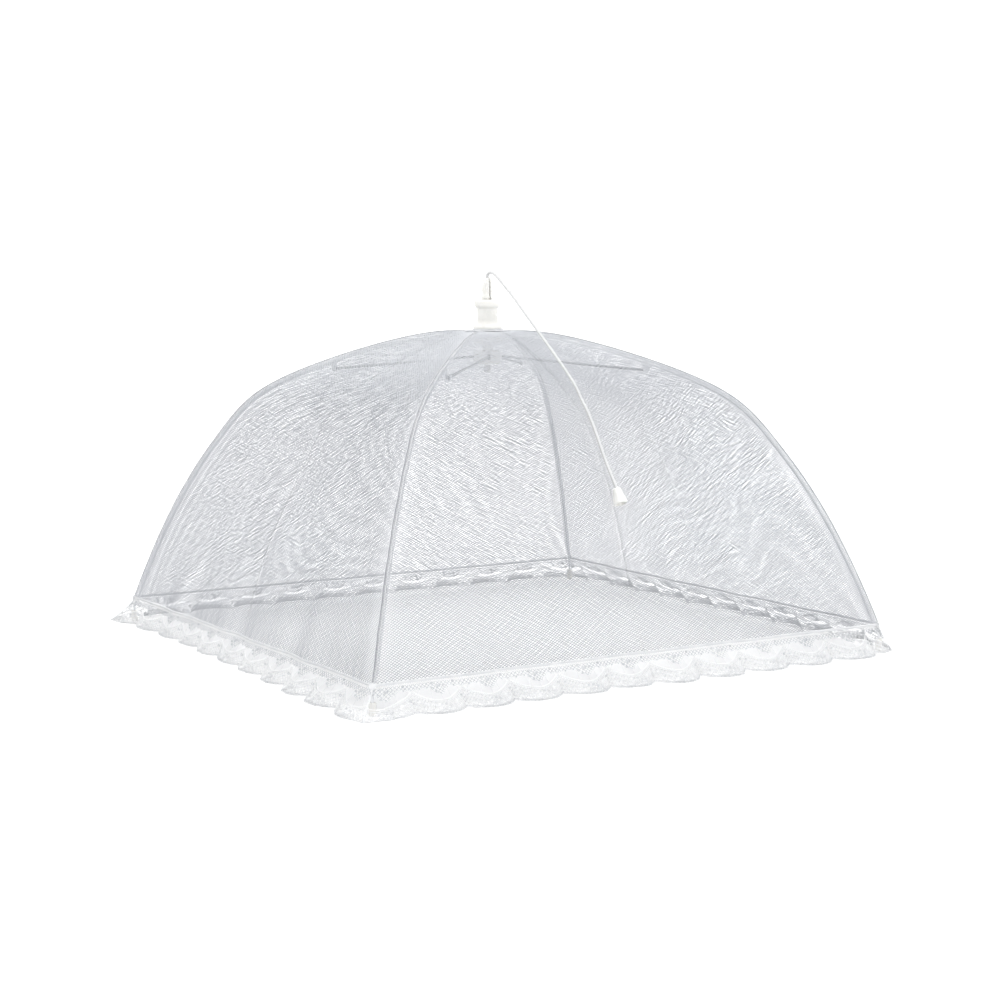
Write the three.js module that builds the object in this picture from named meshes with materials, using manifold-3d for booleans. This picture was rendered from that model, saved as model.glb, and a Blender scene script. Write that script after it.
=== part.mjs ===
// Pop-up mesh food cover: a square umbrella-like dome of net on four sprung wire ribs.
// Millimetres, +Z up. The origin is the centre of the square on the table.
// Pulling the cord lifts the runner; its four stretchers push the ribs out until
// the split stem of the runner snaps through the collar.
import * as THREE from 'three';
import { mergeVertices } from 'three/addons/utils/BufferGeometryUtils.js';
import Module from 'manifold-3d';

const wasm = await Module();
wasm.setup();

// ---------------------------------------------------------------- dimensions
const HALF = 215;            // half of the hem's side
const Z_HEM = 20;            // hem height above the table
const LACE_FLARE = 20;       // how far the lace spreads outward below the hem
const SHELL = 0.5;           // thickness of the net panels as solids
const LACE_T = 0.9;
const EDGE_GAP = 0.6;        // panel edge kept back from the mitre line
const CROWN_HOLE = 7;        // half side of the hole in the net at the crown
const SAG = 6;               // how far a panel is drawn in between two ribs

// dome profile over a rib: control points (radius, height) of a clamped cubic B-spline
const PROFILE = [[0, 240.2], [14, 239.6], [39.4, 246.9], [189.5, 201.8], [220.1, 165.7], [271.4, 99.8], [304.06, Z_HEM]];

const RIB_R = 1.0;
const RIB_DEPTH = 3.3;       // rib centreline below the net, measured square to it
const SLEEVE_IN = 1.45;
const SLEEVE_OUT = 1.85;
const FOOT_R = 304.6;        // radius of the vertical rib ends and their caps

const PIVOT_R = 8.6;         // hinge circle in the crown hub and in the runner
const Z_RIB_PIVOT = 235.5;
const Z_RUN_PIVOT = 221;
const EYE_R = 2.1;
const PIN_R = 0.8;
const PIN_HOLE = 1.1;
const STR_R = 1.0;           // stretcher wire
const STR_OFF = 3.2;         // the stretchers lie beside the plane of their rib
const CLIP_X = 127;          // radius of the pivot that joins stretcher and rib
const CLIP_DROP = 5.4;       // and how far it hangs under the rib's centreline

const HUB_R = 11.2, HUB_Z0 = 231, HUB_Z1 = 239.6;
const NECK_R = 5.9, NECK_TOP = 252.4;
const BORE_R = 4.7;          // crown bore the stem slides in
const RUN_R = 11, RUN_Z0 = 215, RUN_Z1 = 225.5;
const STEM_R = 4.1, STEM_SHOULDER = 278.3, STEM_TOP = 282;
const CORD_BORE = 2.1;
const Z_COLLAR = 242.05;

const CORD_R = 1.1;

// ---------------------------------------------------------------- colours
const mat = {
  net: () => new THREE.MeshStandardMaterial({ color: 0xe9edf2, roughness: 0.8, metalness: 0, transparent: true, opacity: 0.5, side: THREE.DoubleSide }),
  lace: () => new THREE.MeshStandardMaterial({ color: 0xf7f7f8, roughness: 0.85, metalness: 0 }),
  tape: () => new THREE.MeshStandardMaterial({ color: 0xf2f3f5, roughness: 0.8, metalness: 0 }),
  steel: () => new THREE.MeshStandardMaterial({ color: 0xb9bcbf, roughness: 0.3, metalness: 1 }),
  tin: () => new THREE.MeshStandardMaterial({ color: 0xc9cbcd, roughness: 0.35, metalness: 1 }),
  plastic: () => new THREE.MeshStandardMaterial({ color: 0xf4f3ea, roughness: 0.35, metalness: 0 }),
  cord: () => new THREE.MeshStandardMaterial({ color: 0xf5f5f5, roughness: 0.7, metalness: 0 }),
};

// ---------------------------------------------------------------- helpers
const group = new THREE.Group();
function put(name, geometry, material, parent = group) {
  const m = new THREE.Mesh(geometry, material);
  m.name = name;
  parent.add(m);
  return m;
}

function clean(geometry) {
  const g = geometry.clone();
  for (const k of Object.keys(g.attributes)) if (k !== 'position') g.deleteAttribute(k);
  return mergeVertices(g, 1e-4);
}

function solid(geometry) {
  const g = clean(geometry);
  return new wasm.Manifold(new wasm.Mesh({
    numProp: 3,
    vertProperties: new Float32Array(g.attributes.position.array),
    triVerts: new Uint32Array(g.index.array),
  }));
}

function fromSolid(s) {
  const m = s.getMesh();
  const g = new THREE.BufferGeometry();
  g.setAttribute('position', new THREE.BufferAttribute(new Float32Array(m.vertProperties), 3));
  g.setIndex(new THREE.BufferAttribute(new Uint32Array(m.triVerts), 1));
  g.computeVertexNormals();
  return g;
}

// a lathe about +Z from (radius, height) pairs
function lathe(points, segments = 24) {
  const g = new THREE.LatheGeometry(points.map(([r, z]) => new THREE.Vector2(r, z)), segments);
  g.rotateX(Math.PI / 2);
  return g;
}
// a closed ring profile is listed counter-clockwise and returns to its first point
function ring(points, segments = 24) { return lathe([...points, points[0]], segments); }

function box(x0, x1, y0, y1, z0, z1) {
  return new THREE.BoxGeometry(x1 - x0, y1 - y0, z1 - z0).translate((x0 + x1) / 2, (y0 + y1) / 2, (z0 + z1) / 2);
}

// a cylinder along Y between two stations
function pinY(r, y0, y1, x, z, seg = 12) {
  return new THREE.CylinderGeometry(r, r, y1 - y0, seg).translate(x, (y0 + y1) / 2, z);
}

class Line3 extends THREE.Curve {
  constructor(points) { super(); this.inner = new THREE.CatmullRomCurve3(points, false, 'centripetal'); }
  getPoint(t, target) { return this.inner.getPoint(t, target); }
}

function circleShape(r, n) {
  const s = new THREE.Shape();
  for (let i = 0; i < n; i++) {
    const a = (i / n) * Math.PI * 2;
    if (i === 0) s.moveTo(r * Math.cos(a), r * Math.sin(a)); else s.lineTo(r * Math.cos(a), r * Math.sin(a));
  }
  s.closePath();
  return s;
}

function sweep(points, r, steps, sides = 8, inner = 0) {
  const s = circleShape(r, sides);
  if (inner) s.holes.push(new THREE.Path(circleShape(inner, sides).getPoints(1).reverse()));
  return new THREE.ExtrudeGeometry(s, { steps, extrudePath: new Line3(points), bevelEnabled: false, curveSegments: 1 });
}

const V = (x, y, z) => new THREE.Vector3(x, y, z);

// ---------------------------------------------------------------- dome profile
function basis(n, t) {
  const k = 3, m = n - k;
  const knots = [0, 0, 0];
  for (let i = 0; i <= m; i++) knots.push(i / m);
  knots.push(1, 1, 1);
  const N = new Array(n + k).fill(0);
  for (let i = 0; i < n + k; i++) N[i] = t >= knots[i] && t < knots[i + 1] ? 1 : 0;
  if (t >= 1) { N.fill(0); N[n - 1] = 1; }
  for (let d = 1; d <= k; d++) {
    for (let i = 0; i < n + k - d; i++) {
      const a = knots[i + d] - knots[i], b = knots[i + d + 1] - knots[i + 1];
      N[i] = (a ? ((t - knots[i]) / a) * N[i] : 0) + (b ? ((knots[i + d + 1] - t) / b) * N[i + 1] : 0);
    }
    if (t >= 1) { N.fill(0); N[n - 1] = 1; }
  }
  return N;
}
const FINE = [];
for (let i = 0; i <= 600; i++) {
  const N = basis(PROFILE.length, i / 600);
  let r = 0, z = 0;
  PROFILE.forEach(([a, b], j) => { r += a * N[j]; z += b * N[j]; });
  FINE.push([r, z]);
}
const ARC = [0];
for (let i = 1; i < FINE.length; i++) ARC.push(ARC[i - 1] + Math.hypot(FINE[i][0] - FINE[i - 1][0], FINE[i][1] - FINE[i - 1][1]));
const ARC_LEN = ARC[ARC.length - 1];
// point and outward normal of the dome over a rib at arc length s
function dome(s) {
  let i = 1;
  while (i < ARC.length - 1 && ARC[i] < s) i++;
  const f = (s - ARC[i - 1]) / (ARC[i] - ARC[i - 1]);
  const a = FINE[i - 1], b = FINE[i];
  const dr = b[0] - a[0], dz = b[1] - a[1], l = Math.hypot(dr, dz);
  return { r: a[0] + dr * f, z: a[1] + dz * f, nr: -dz / l, nz: dr / l };
}
function arcAtRadius(r) {
  let i = 1;
  while (i < FINE.length - 1 && FINE[i][0] < r) i++;
  const a = FINE[i - 1], b = FINE[i];
  return ARC[i - 1] + ((r - a[0]) / (b[0] - a[0])) * (ARC[i] - ARC[i - 1]);
}

// ---------------------------------------------------------------- crown
const corners = [225, 315, 45, 135].map((d) => (d * Math.PI) / 180);
const turned = (s, a) => s.rotate([0, 0, (a * 180) / Math.PI]);

{
  // slotted disc under the net, with a neck that goes up through it
  let hub = solid(ring([[BORE_R, HUB_Z0], [HUB_R - 0.8, HUB_Z0], [HUB_R, HUB_Z0 + 0.8], [HUB_R, HUB_Z1 - 1.2], [HUB_R - 1.2, HUB_Z1],
    [NECK_R, HUB_Z1], [NECK_R, NECK_TOP - 0.5], [NECK_R - 0.5, NECK_TOP], [BORE_R, NECK_TOP]], 24));
  const slot = solid(box(6.3, 14, -1.5, 1.5, HUB_Z0 - 1, 238.2)).add(solid(pinY(PIN_HOLE, -4.8, 12, PIVOT_R, Z_RIB_PIVOT)));
  for (const a of corners) hub = hub.subtract(turned(slot, a));
  put('crown_hub', fromSolid(hub), mat.plastic());
}

// round reinforcing patch clamped between the net and the collar
put('crown_patch', ring([[6.4, 241.36], [17, 241.36], [17, 241.74], [6.4, 241.74]], 24), mat.tape());

{
  const z = Z_COLLAR;
  put('collar', ring([
    [NECK_R + 0.35, z], [10.6, z], [11.2, z + 0.6], [11.2, z + 1.8], [10.4, z + 3.2], [9.2, z + 4.6], [8.5, z + 6], [8.3, z + 7.4],
    [8.3, z + 16.4], [9.1, z + 17.0], [9.9, z + 17.8], [10.1, z + 19], [10.1, z + 21.4], [9.7, z + 22.4], [8.8, z + 23.1],
    [BORE_R, z + 23.1], [BORE_R, z + 10.8], [NECK_R + 0.35, z + 10.8]], 24), mat.plastic());
}

corners.forEach((a, i) => {
  const p = put(`crown_pin_${i + 1}`, pinY(PIN_R, -4.4, 4.4, PIVOT_R, Z_RIB_PIVOT), mat.steel());
  p.rotation.z = a;
});

// ---------------------------------------------------------------- net panels
// Each panel spans two ribs with straight threads, drawn in a little between them.
const PANEL_ROWS = 18, PANEL_COLS = 8;
const S0 = arcAtRadius(CROWN_HOLE * Math.SQRT2);
const S1 = ARC_LEN - 1.35;
function sagAt(t) { return SAG * 4 * t * (1 - t) + 1.5 * t; }
function panelPoint(s, u, off) {
  const p = dome(s), h = p.r / Math.SQRT2;
  // normal of the flat-chord surface in the panel's own middle plane
  const l = Math.hypot(p.nr, p.nz / Math.SQRT2);
  const ny = p.nr / l, nz = p.nz / Math.SQRT2 / l;
  const d = off - sagAt(s / ARC_LEN) * (1 - u * u) * Math.min(1, s / 60);
  return [u * (h - EDGE_GAP), -(h + ny * d), p.z + nz * d];
}
function panelGeometry() {
  const pos = [], idx = [];
  const R = PANEL_ROWS, C = PANEL_COLS, W = C + 1;
  for (const off of [SHELL / 2, -SHELL / 2]) {
    for (let i = 0; i <= R; i++) for (let j = 0; j <= C; j++) pos.push(...panelPoint(S0 + ((S1 - S0) * i) / R, -1 + (2 * j) / C, off));
  }
  const B = (R + 1) * W;
  const quad = (a, b, c, d) => idx.push(a, b, c, a, c, d);
  for (let i = 0; i < R; i++) for (let j = 0; j < C; j++) {
    const a = i * W + j, b = a + 1, c = a + W + 1, d = a + W;
    quad(a, d, c, b);
    quad(B + a, B + b, B + c, B + d);
  }
  for (let i = 0; i < R; i++) {
    const a = i * W, d = a + W;
    quad(a, B + a, B + d, d);
    const b = i * W + C, c = b + W;
    quad(b, c, B + c, B + b);
  }
  for (let j = 0; j < C; j++) {
    const a = j, b = j + 1;
    quad(a, b, B + b, B + a);
    const d = R * W + j, c = d + 1;
    quad(d, B + d, B + c, c);
  }
  const g = new THREE.BufferGeometry();
  g.setAttribute('position', new THREE.Float32BufferAttribute(pos, 3));
  g.setIndex(idx);
  g.computeVertexNormals();
  return g;
}
const sides = [['front', 0], ['right', Math.PI / 2], ['rear', Math.PI], ['left', -Math.PI / 2]];
for (const [side, a] of sides) put(`net_panel_${side}`, panelGeometry(), mat.net()).rotation.z = a;

// ---------------------------------------------------------------- hem and lace
{
  // one stitched cord of tape all round the hem
  const h = HALF + 0.1, r = 1.0, c = 1.3;
  const tri = [];
  const path = [];
  const arcs = [[h - c, -(h - c), -90], [h - c, h - c, 0], [-(h - c), h - c, 90], [-(h - c), -(h - c), 180]];
  for (const [cx, cy, a0] of arcs) for (let k = 0; k <= 4; k++) {
    const a = ((a0 + k * 22.5) * Math.PI) / 180;
    path.push([cx + c * Math.cos(a), cy + c * Math.sin(a), Math.cos(a), Math.sin(a)]);
  }
  const n = path.length, m = 6, pos = [];
  for (const [x, y, ox, oy] of path) for (let j = 0; j < m; j++) {
    const b = (j / m) * Math.PI * 2;
    pos.push(x + ox * r * Math.cos(b), y + oy * r * Math.cos(b), Z_HEM - 0.2 + r * Math.sin(b));
  }
  for (let i = 0; i < n; i++) for (let j = 0; j < m; j++) {
    const i2 = (i + 1) % n, j2 = (j + 1) % m;
    const A = i * m + j, Bq = i2 * m + j, Cq = i2 * m + j2, D = i * m + j2;
    tri.push(A, Bq, Cq, A, Cq, D);
  }
  const g = new THREE.BufferGeometry();
  g.setAttribute('position', new THREE.Float32BufferAttribute(pos, 3));
  g.setIndex(tri);
  g.computeVertexNormals();
  put('hem_tape', g, mat.tape());
}

{
  // lace edging: a strip on each side, spread outward so that its edge lies on the table
  const z1 = Z_HEM - 1.6, out = (z) => HALF + 0.2 + (LACE_FLARE * (z1 - z)) / z1;
  const rows = [[out(z1), z1], [out(9), 9], [out(0), 0]];
  const cols = 8;
  for (const [side, a] of sides) {
    const pos = [], idx = [];
    const W = cols + 1, R = rows.length - 1;
    for (const off of [0, -LACE_T]) for (const [y, z] of rows) for (let j = 0; j <= cols; j++) {
      pos.push((-1 + (2 * j) / cols) * (y - LACE_T - EDGE_GAP / 2), -(y + off), z);
    }
    const B = (R + 1) * W, quad = (p, q, r, s) => idx.push(p, q, r, p, r, s);
    for (let i = 0; i < R; i++) for (let j = 0; j < cols; j++) {
      const p = i * W + j;
      quad(p, p + W, p + W + 1, p + 1);
      quad(B + p, B + p + 1, B + p + W + 1, B + p + W);
    }
    for (let i = 0; i < R; i++) {
      const p = i * W, q = p + W, s = i * W + cols, t = s + W;
      quad(p, B + p, B + q, q);
      quad(s, t, B + t, B + s);
    }
    for (let j = 0; j < cols; j++) {
      quad(j, j + 1, B + j + 1, B + j);
      const p = R * W + j;
      quad(p, B + p, B + p + 1, p + 1);
    }
    const g = new THREE.BufferGeometry();
    g.setAttribute('position', new THREE.Float32BufferAttribute(pos, 3));
    g.setIndex(idx);
    g.computeVertexNormals();
    put(`lace_${side}`, g, mat.lace()).rotation.z = a;
  }
}

// ---------------------------------------------------------------- ribs
// centreline of a rib in its own plane: eye, level start under the net, then the dome's curve
const S_HEM = ARC_LEN;
function ribLine(s) {
  const p = dome(s);
  return [p.r - p.nr * RIB_DEPTH, p.z - p.nz * RIB_DEPTH];
}
const ribPath = [[PIVOT_R + 1.2, Z_RIB_PIVOT], [20, 236.2], [32, 237.0]];
const S_START = arcAtRadius(45);
for (let i = 0; i <= 26; i++) ribPath.push(ribLine(S_START + ((S_HEM - 3 - S_START) * i) / 26));
ribPath.push([FOOT_R - 1.0, 14.2], [FOOT_R - 0.1, 10.4], [FOOT_R, 6], [FOOT_R, 2.6]);
const inPlane = (list) => list.map(([x, z]) => V(x, 0, z));
const ribGeometry = (() => {
  let s = solid(sweep(inPlane(ribPath), RIB_R, 44, 8));
  s = s.add(solid(pinY(EYE_R, -RIB_R, RIB_R, PIVOT_R, Z_RIB_PIVOT, 20)));
  s = s.subtract(solid(pinY(PIN_HOLE, -3, 3, PIVOT_R, Z_RIB_PIVOT)));
  return fromSolid(s);
})();
const zClip = (() => {
  // rib centreline height over the clip
  let best = 0, z = 0;
  for (let s = 60; s < 220; s += 0.25) {
    const q = ribLine(s);
    if (Math.abs(q[0] - CLIP_X) < Math.abs(best - CLIP_X)) { best = q[0]; z = q[1]; }
  }
  return z;
})();
const Z_CLIP_PIVOT = zClip - CLIP_DROP;
const sleevePath = [];
const S_SL0 = arcAtRadius(137), S_SL1 = ARC_LEN - 9;
for (let i = 0; i <= 22; i++) sleevePath.push(ribLine(S_SL0 + ((S_SL1 - S_SL0) * i) / 22));
const slope = (() => { const p = dome(arcAtRadius(CLIP_X)); return Math.atan2(p.nr, p.nz); })();

const clipGeometry = (() => {
  // bent tin clip: a crimped barrel round the rib and a flat tab below it
  const L = 7;
  let c = solid(new THREE.CylinderGeometry(1.75, 1.75, L, 12).rotateZ(Math.PI / 2));
  c = c.add(solid(box(-2.6, 2.6, 0.6, 1.75, -CLIP_DROP - 1.9, 0)));
  c = c.subtract(solid(new THREE.CylinderGeometry(1.3, 1.3, L + 4, 12).rotateZ(Math.PI / 2)));
  c = c.rotate([0, (slope * 180) / Math.PI, 0]).translate([CLIP_X, 0, zClip]);
  return fromSolid(c);
})();
// rib clips lean with the rib, so the pivot lies on the clip's own centreline
const PIV = [CLIP_X - Math.sin(slope) * CLIP_DROP, zClip - Math.cos(slope) * CLIP_DROP];

const strGeometry = (() => {
  const [x1, z1] = PIV, x0 = PIVOT_R, z0 = Z_RUN_PIVOT;
  const len = Math.hypot(x1 - x0, z1 - z0), ax = Math.atan2(z1 - z0, x1 - x0);
  let s = solid(new THREE.CylinderGeometry(STR_R, STR_R, len - 2.4, 10).rotateZ(Math.PI / 2).translate(len / 2, 0, 0));
  s = s.add(solid(pinY(EYE_R, -STR_R, STR_R, 0, 0, 16))).add(solid(pinY(EYE_R, -STR_R, STR_R, len, 0, 16)));
  s = s.subtract(solid(pinY(PIN_HOLE, -3, 3, 0, 0))).subtract(solid(pinY(PIN_HOLE, -3, 3, len, 0)));
  s = s.rotate([0, (-ax * 180) / Math.PI, 0]).translate([x0, STR_OFF, z0]);
  return fromSolid(s);
})();

corners.forEach((a, i) => {
  const n = i + 1;
  const g = new THREE.Group();
  g.rotation.z = a;
  group.add(g);
  put(`rib_${n}`, ribGeometry.clone(), mat.steel(), g);
  put(`rib_sleeve_${n}`, sweep(inPlane(sleevePath), SLEEVE_OUT, 20, 6, SLEEVE_IN), mat.tape(), g);
  put(`rib_clip_${n}`, clipGeometry.clone(), mat.tin(), g);
  const cap = lathe([[0, 0], [1.9, 0], [2.6, 0.8], [2.6, 8.4], [2.2, 9], [1.45, 9], [1.45, 2.2], [0, 2.2]], 16);
  put(`foot_cap_${n}`, cap.translate(FOOT_R, 0, 0), mat.plastic(), g);
  put(`stretcher_${n}`, strGeometry.clone(), mat.steel(), g);
  // rivet held in the stretcher's outer eye, its head outside
  const riv = solid(pinY(PIN_R, STR_OFF - STR_R + 0.1, STR_OFF + STR_R + 0.5, PIV[0], PIV[1]))
    .add(solid(pinY(1.7, STR_OFF + STR_R + 0.35, STR_OFF + STR_R + 1.0, PIV[0], PIV[1])));
  put(`stretcher_rivet_${n}`, fromSolid(riv), mat.tin(), g);
  put(`runner_pin_${n}`, pinY(PIN_R, 0.2, 6.1, PIVOT_R, Z_RUN_PIVOT), mat.steel(), g);
});

// ---------------------------------------------------------------- runner
{
  let r = solid(ring([[CORD_BORE, RUN_Z0], [RUN_R - 1, RUN_Z0], [RUN_R, RUN_Z0 + 1], [RUN_R, RUN_Z1 - 1], [RUN_R - 1, RUN_Z1], [STEM_R + 1, RUN_Z1], [STEM_R, RUN_Z1 + 1.2],
    [STEM_R, 265.5], [4.4, 266.2], [4.4, 267.2], [STEM_R, 269.5], [STEM_R, STEM_SHOULDER], [3.0, STEM_TOP - 0.4], [2.7, STEM_TOP], [CORD_BORE, STEM_TOP]], 24));
  const slot = solid(box(6.3, 14, 1.7, 4.7, 218.3, 230)).add(solid(pinY(PIN_HOLE, -0.1, 12, PIVOT_R, Z_RUN_PIVOT)));
  for (const a of corners) r = r.subtract(turned(slot, a));
  // the stem is split into two prongs; the split faces the front and rear panels
  r = r.subtract(solid(box(-0.6, 0.6, -6, 6, 248, 284)));
  put('runner', fromSolid(r), mat.plastic());
}

// ---------------------------------------------------------------- pull cord
// core: held in the runner's bore, from the knot under it to the stem's tip
put('pull_cord_core', new THREE.CylinderGeometry(CORD_R, CORD_R, 66.6, 8).rotateX(Math.PI / 2).translate(0, 0, 214.9 + 33.3), mat.cord());
put('runner_knot', lathe([[0, 207.6], [1.8, 208.0], [3.0, 209.4], [3.3, 211.2], [2.8, 213.2], [1.6, 214.3], [0, 214.6]], 12), mat.cord());

// free part: over the tip, down to the front panel and along it
const CORD = [
  [0, 0, 281.8], [0, -0.05, 283.2], [0, -1.0, 285.0], [0.1, -3.3, 286.0], [0.3, -7.8, 285.8], [0.4, -13.6, 283.3], [0.6, -20.7, 278.8], [1.6, -32.9, 269.8],
  [2.9, -45.5, 259.2], [3.9, -59.6, 248.0], [4.5, -77.1, 234.5], [4.9, -92.0, 223.3], [5.0, -106.5, 212.3], [5.0, -118.2, 202.4],
];
const middle = (h, off) => {
  // point in the front panel's middle plane, at distance off outside the net
  const q = panelPoint(arcAtRadius(h * Math.SQRT2), 0, off);
  return [q[1], q[2]];
};
const BELL_OFF = 5.9, BELL_X = 4.2;
for (const [x, h, off] of [[4.8, 130, 2.0], [4.4, 139, 1.75], [4.0, 148, 1.75], [4.0, 157, 1.9], [4.1, 163.5, 2.6], [4.2, 169, 4.1], [BELL_X, 172.8, 5.4], [BELL_X, 175.2, BELL_OFF - 0.1]]) CORD.push([x, ...middle(h, off)]);
const cordPts = CORD.map(([x, y, z]) => V(x, y, z));
put('pull_cord', sweep(cordPts, CORD_R, 66, 8), mat.cord());

{
  // small bell on the cord's end, lying along the net with its mouth downhill
  const a = middle(173.5, BELL_OFF - 0.35), b = middle(184, BELL_OFF + 0.1);
  const dy = b[0] - a[0], dz = b[1] - a[1], ang = Math.atan2(dz, -dy);
  const holder = new THREE.Group();
  holder.position.set(BELL_X, a[0], a[1]);
  // local +Z runs along the cord towards its end
  holder.rotation.x = Math.PI / 2 - ang;
  group.add(holder);
  put('cord_bell', ring([[1.5, 0], [2.4, 0], [3.1, 1.0], [3.5, 3.0], [4.1, 6.0], [4.9, 9.4], [5.1, 11.2], [4.8, 12], [4.1, 12], [3.7, 9.0], [3.3, 5.4], [1.5, 3.4]], 20), mat.plastic(), holder);
  put('bell_knot', lathe([[0, 4.9], [1.3, 5.1], [2.3, 6.4], [2.4, 7.8], [1.6, 9.2], [0, 9.7]], 10), mat.cord(), holder);
}

export default group;
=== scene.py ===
import math
import bpy
import numpy as np
from mathutils import Matrix


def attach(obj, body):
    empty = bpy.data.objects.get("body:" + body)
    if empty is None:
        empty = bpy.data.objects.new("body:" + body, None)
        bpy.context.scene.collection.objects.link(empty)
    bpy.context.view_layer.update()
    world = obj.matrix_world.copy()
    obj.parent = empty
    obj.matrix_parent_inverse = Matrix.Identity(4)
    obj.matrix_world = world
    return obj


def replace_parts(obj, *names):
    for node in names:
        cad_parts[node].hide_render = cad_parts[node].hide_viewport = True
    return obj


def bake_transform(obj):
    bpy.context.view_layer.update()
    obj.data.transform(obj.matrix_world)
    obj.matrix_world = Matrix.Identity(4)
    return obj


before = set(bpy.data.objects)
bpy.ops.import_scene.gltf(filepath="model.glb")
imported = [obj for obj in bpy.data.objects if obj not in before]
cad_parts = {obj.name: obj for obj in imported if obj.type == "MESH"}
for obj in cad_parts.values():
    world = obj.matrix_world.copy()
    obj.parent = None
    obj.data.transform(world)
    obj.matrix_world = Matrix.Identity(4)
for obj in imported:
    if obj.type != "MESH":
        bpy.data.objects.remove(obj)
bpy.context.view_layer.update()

# Looks of a pop-up net food cover. Lengths below are millimetres in the CAD frame
# (+Z up, origin at the centre of the square on the table) until a mesh is made, in metres.
MM = 0.001
R2 = math.sqrt(2.0)

# ------------------------------------------------------------------ camera
EYE = np.array([-800.4, -1355.8, 283.1])
AIM = np.array([8.76, -5.52, 112.09])
ROLL = math.radians(-0.28)
FOCAL_PX = 2007.75
MID_PX = (501.6, 494.5)      # where the optical axis crosses the 990 x 990 picture


def unit(v):
    v = np.asarray(v, float)
    return v / np.linalg.norm(v, axis=-1, keepdims=True)


def make_camera():
    zc = unit(EYE - AIM)
    xc = unit(np.cross([0, 0, 1.0], zc))
    yc = np.cross(zc, xc)
    x = xc * math.cos(ROLL) + yc * math.sin(ROLL)
    y = -xc * math.sin(ROLL) + yc * math.cos(ROLL)
    # turned by a fifth of a degree so that the picture's middle is the axis and no shift is needed
    ray = x * (495 - MID_PX[0]) / FOCAL_PX - y * (495 - MID_PX[1]) / FOCAL_PX - zc
    zn = -unit(ray)
    xn = unit(x - zn * (x @ zn))
    yn = np.cross(zn, xn)
    data = bpy.data.cameras.new("camera")
    data.sensor_width = 36.0
    data.lens = FOCAL_PX * 36.0 / 990.0
    data.clip_start, data.clip_end = 0.05, 60.0
    cam = bpy.data.objects.new("camera", data)
    bpy.context.collection.objects.link(cam)
    m = np.eye(4)
    m[:3, 0], m[:3, 1], m[:3, 2], m[:3, 3] = xn, yn, zn, EYE * MM
    cam.matrix_world = Matrix([list(r) for r in m])
    bpy.context.scene.camera = cam


make_camera()


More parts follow.
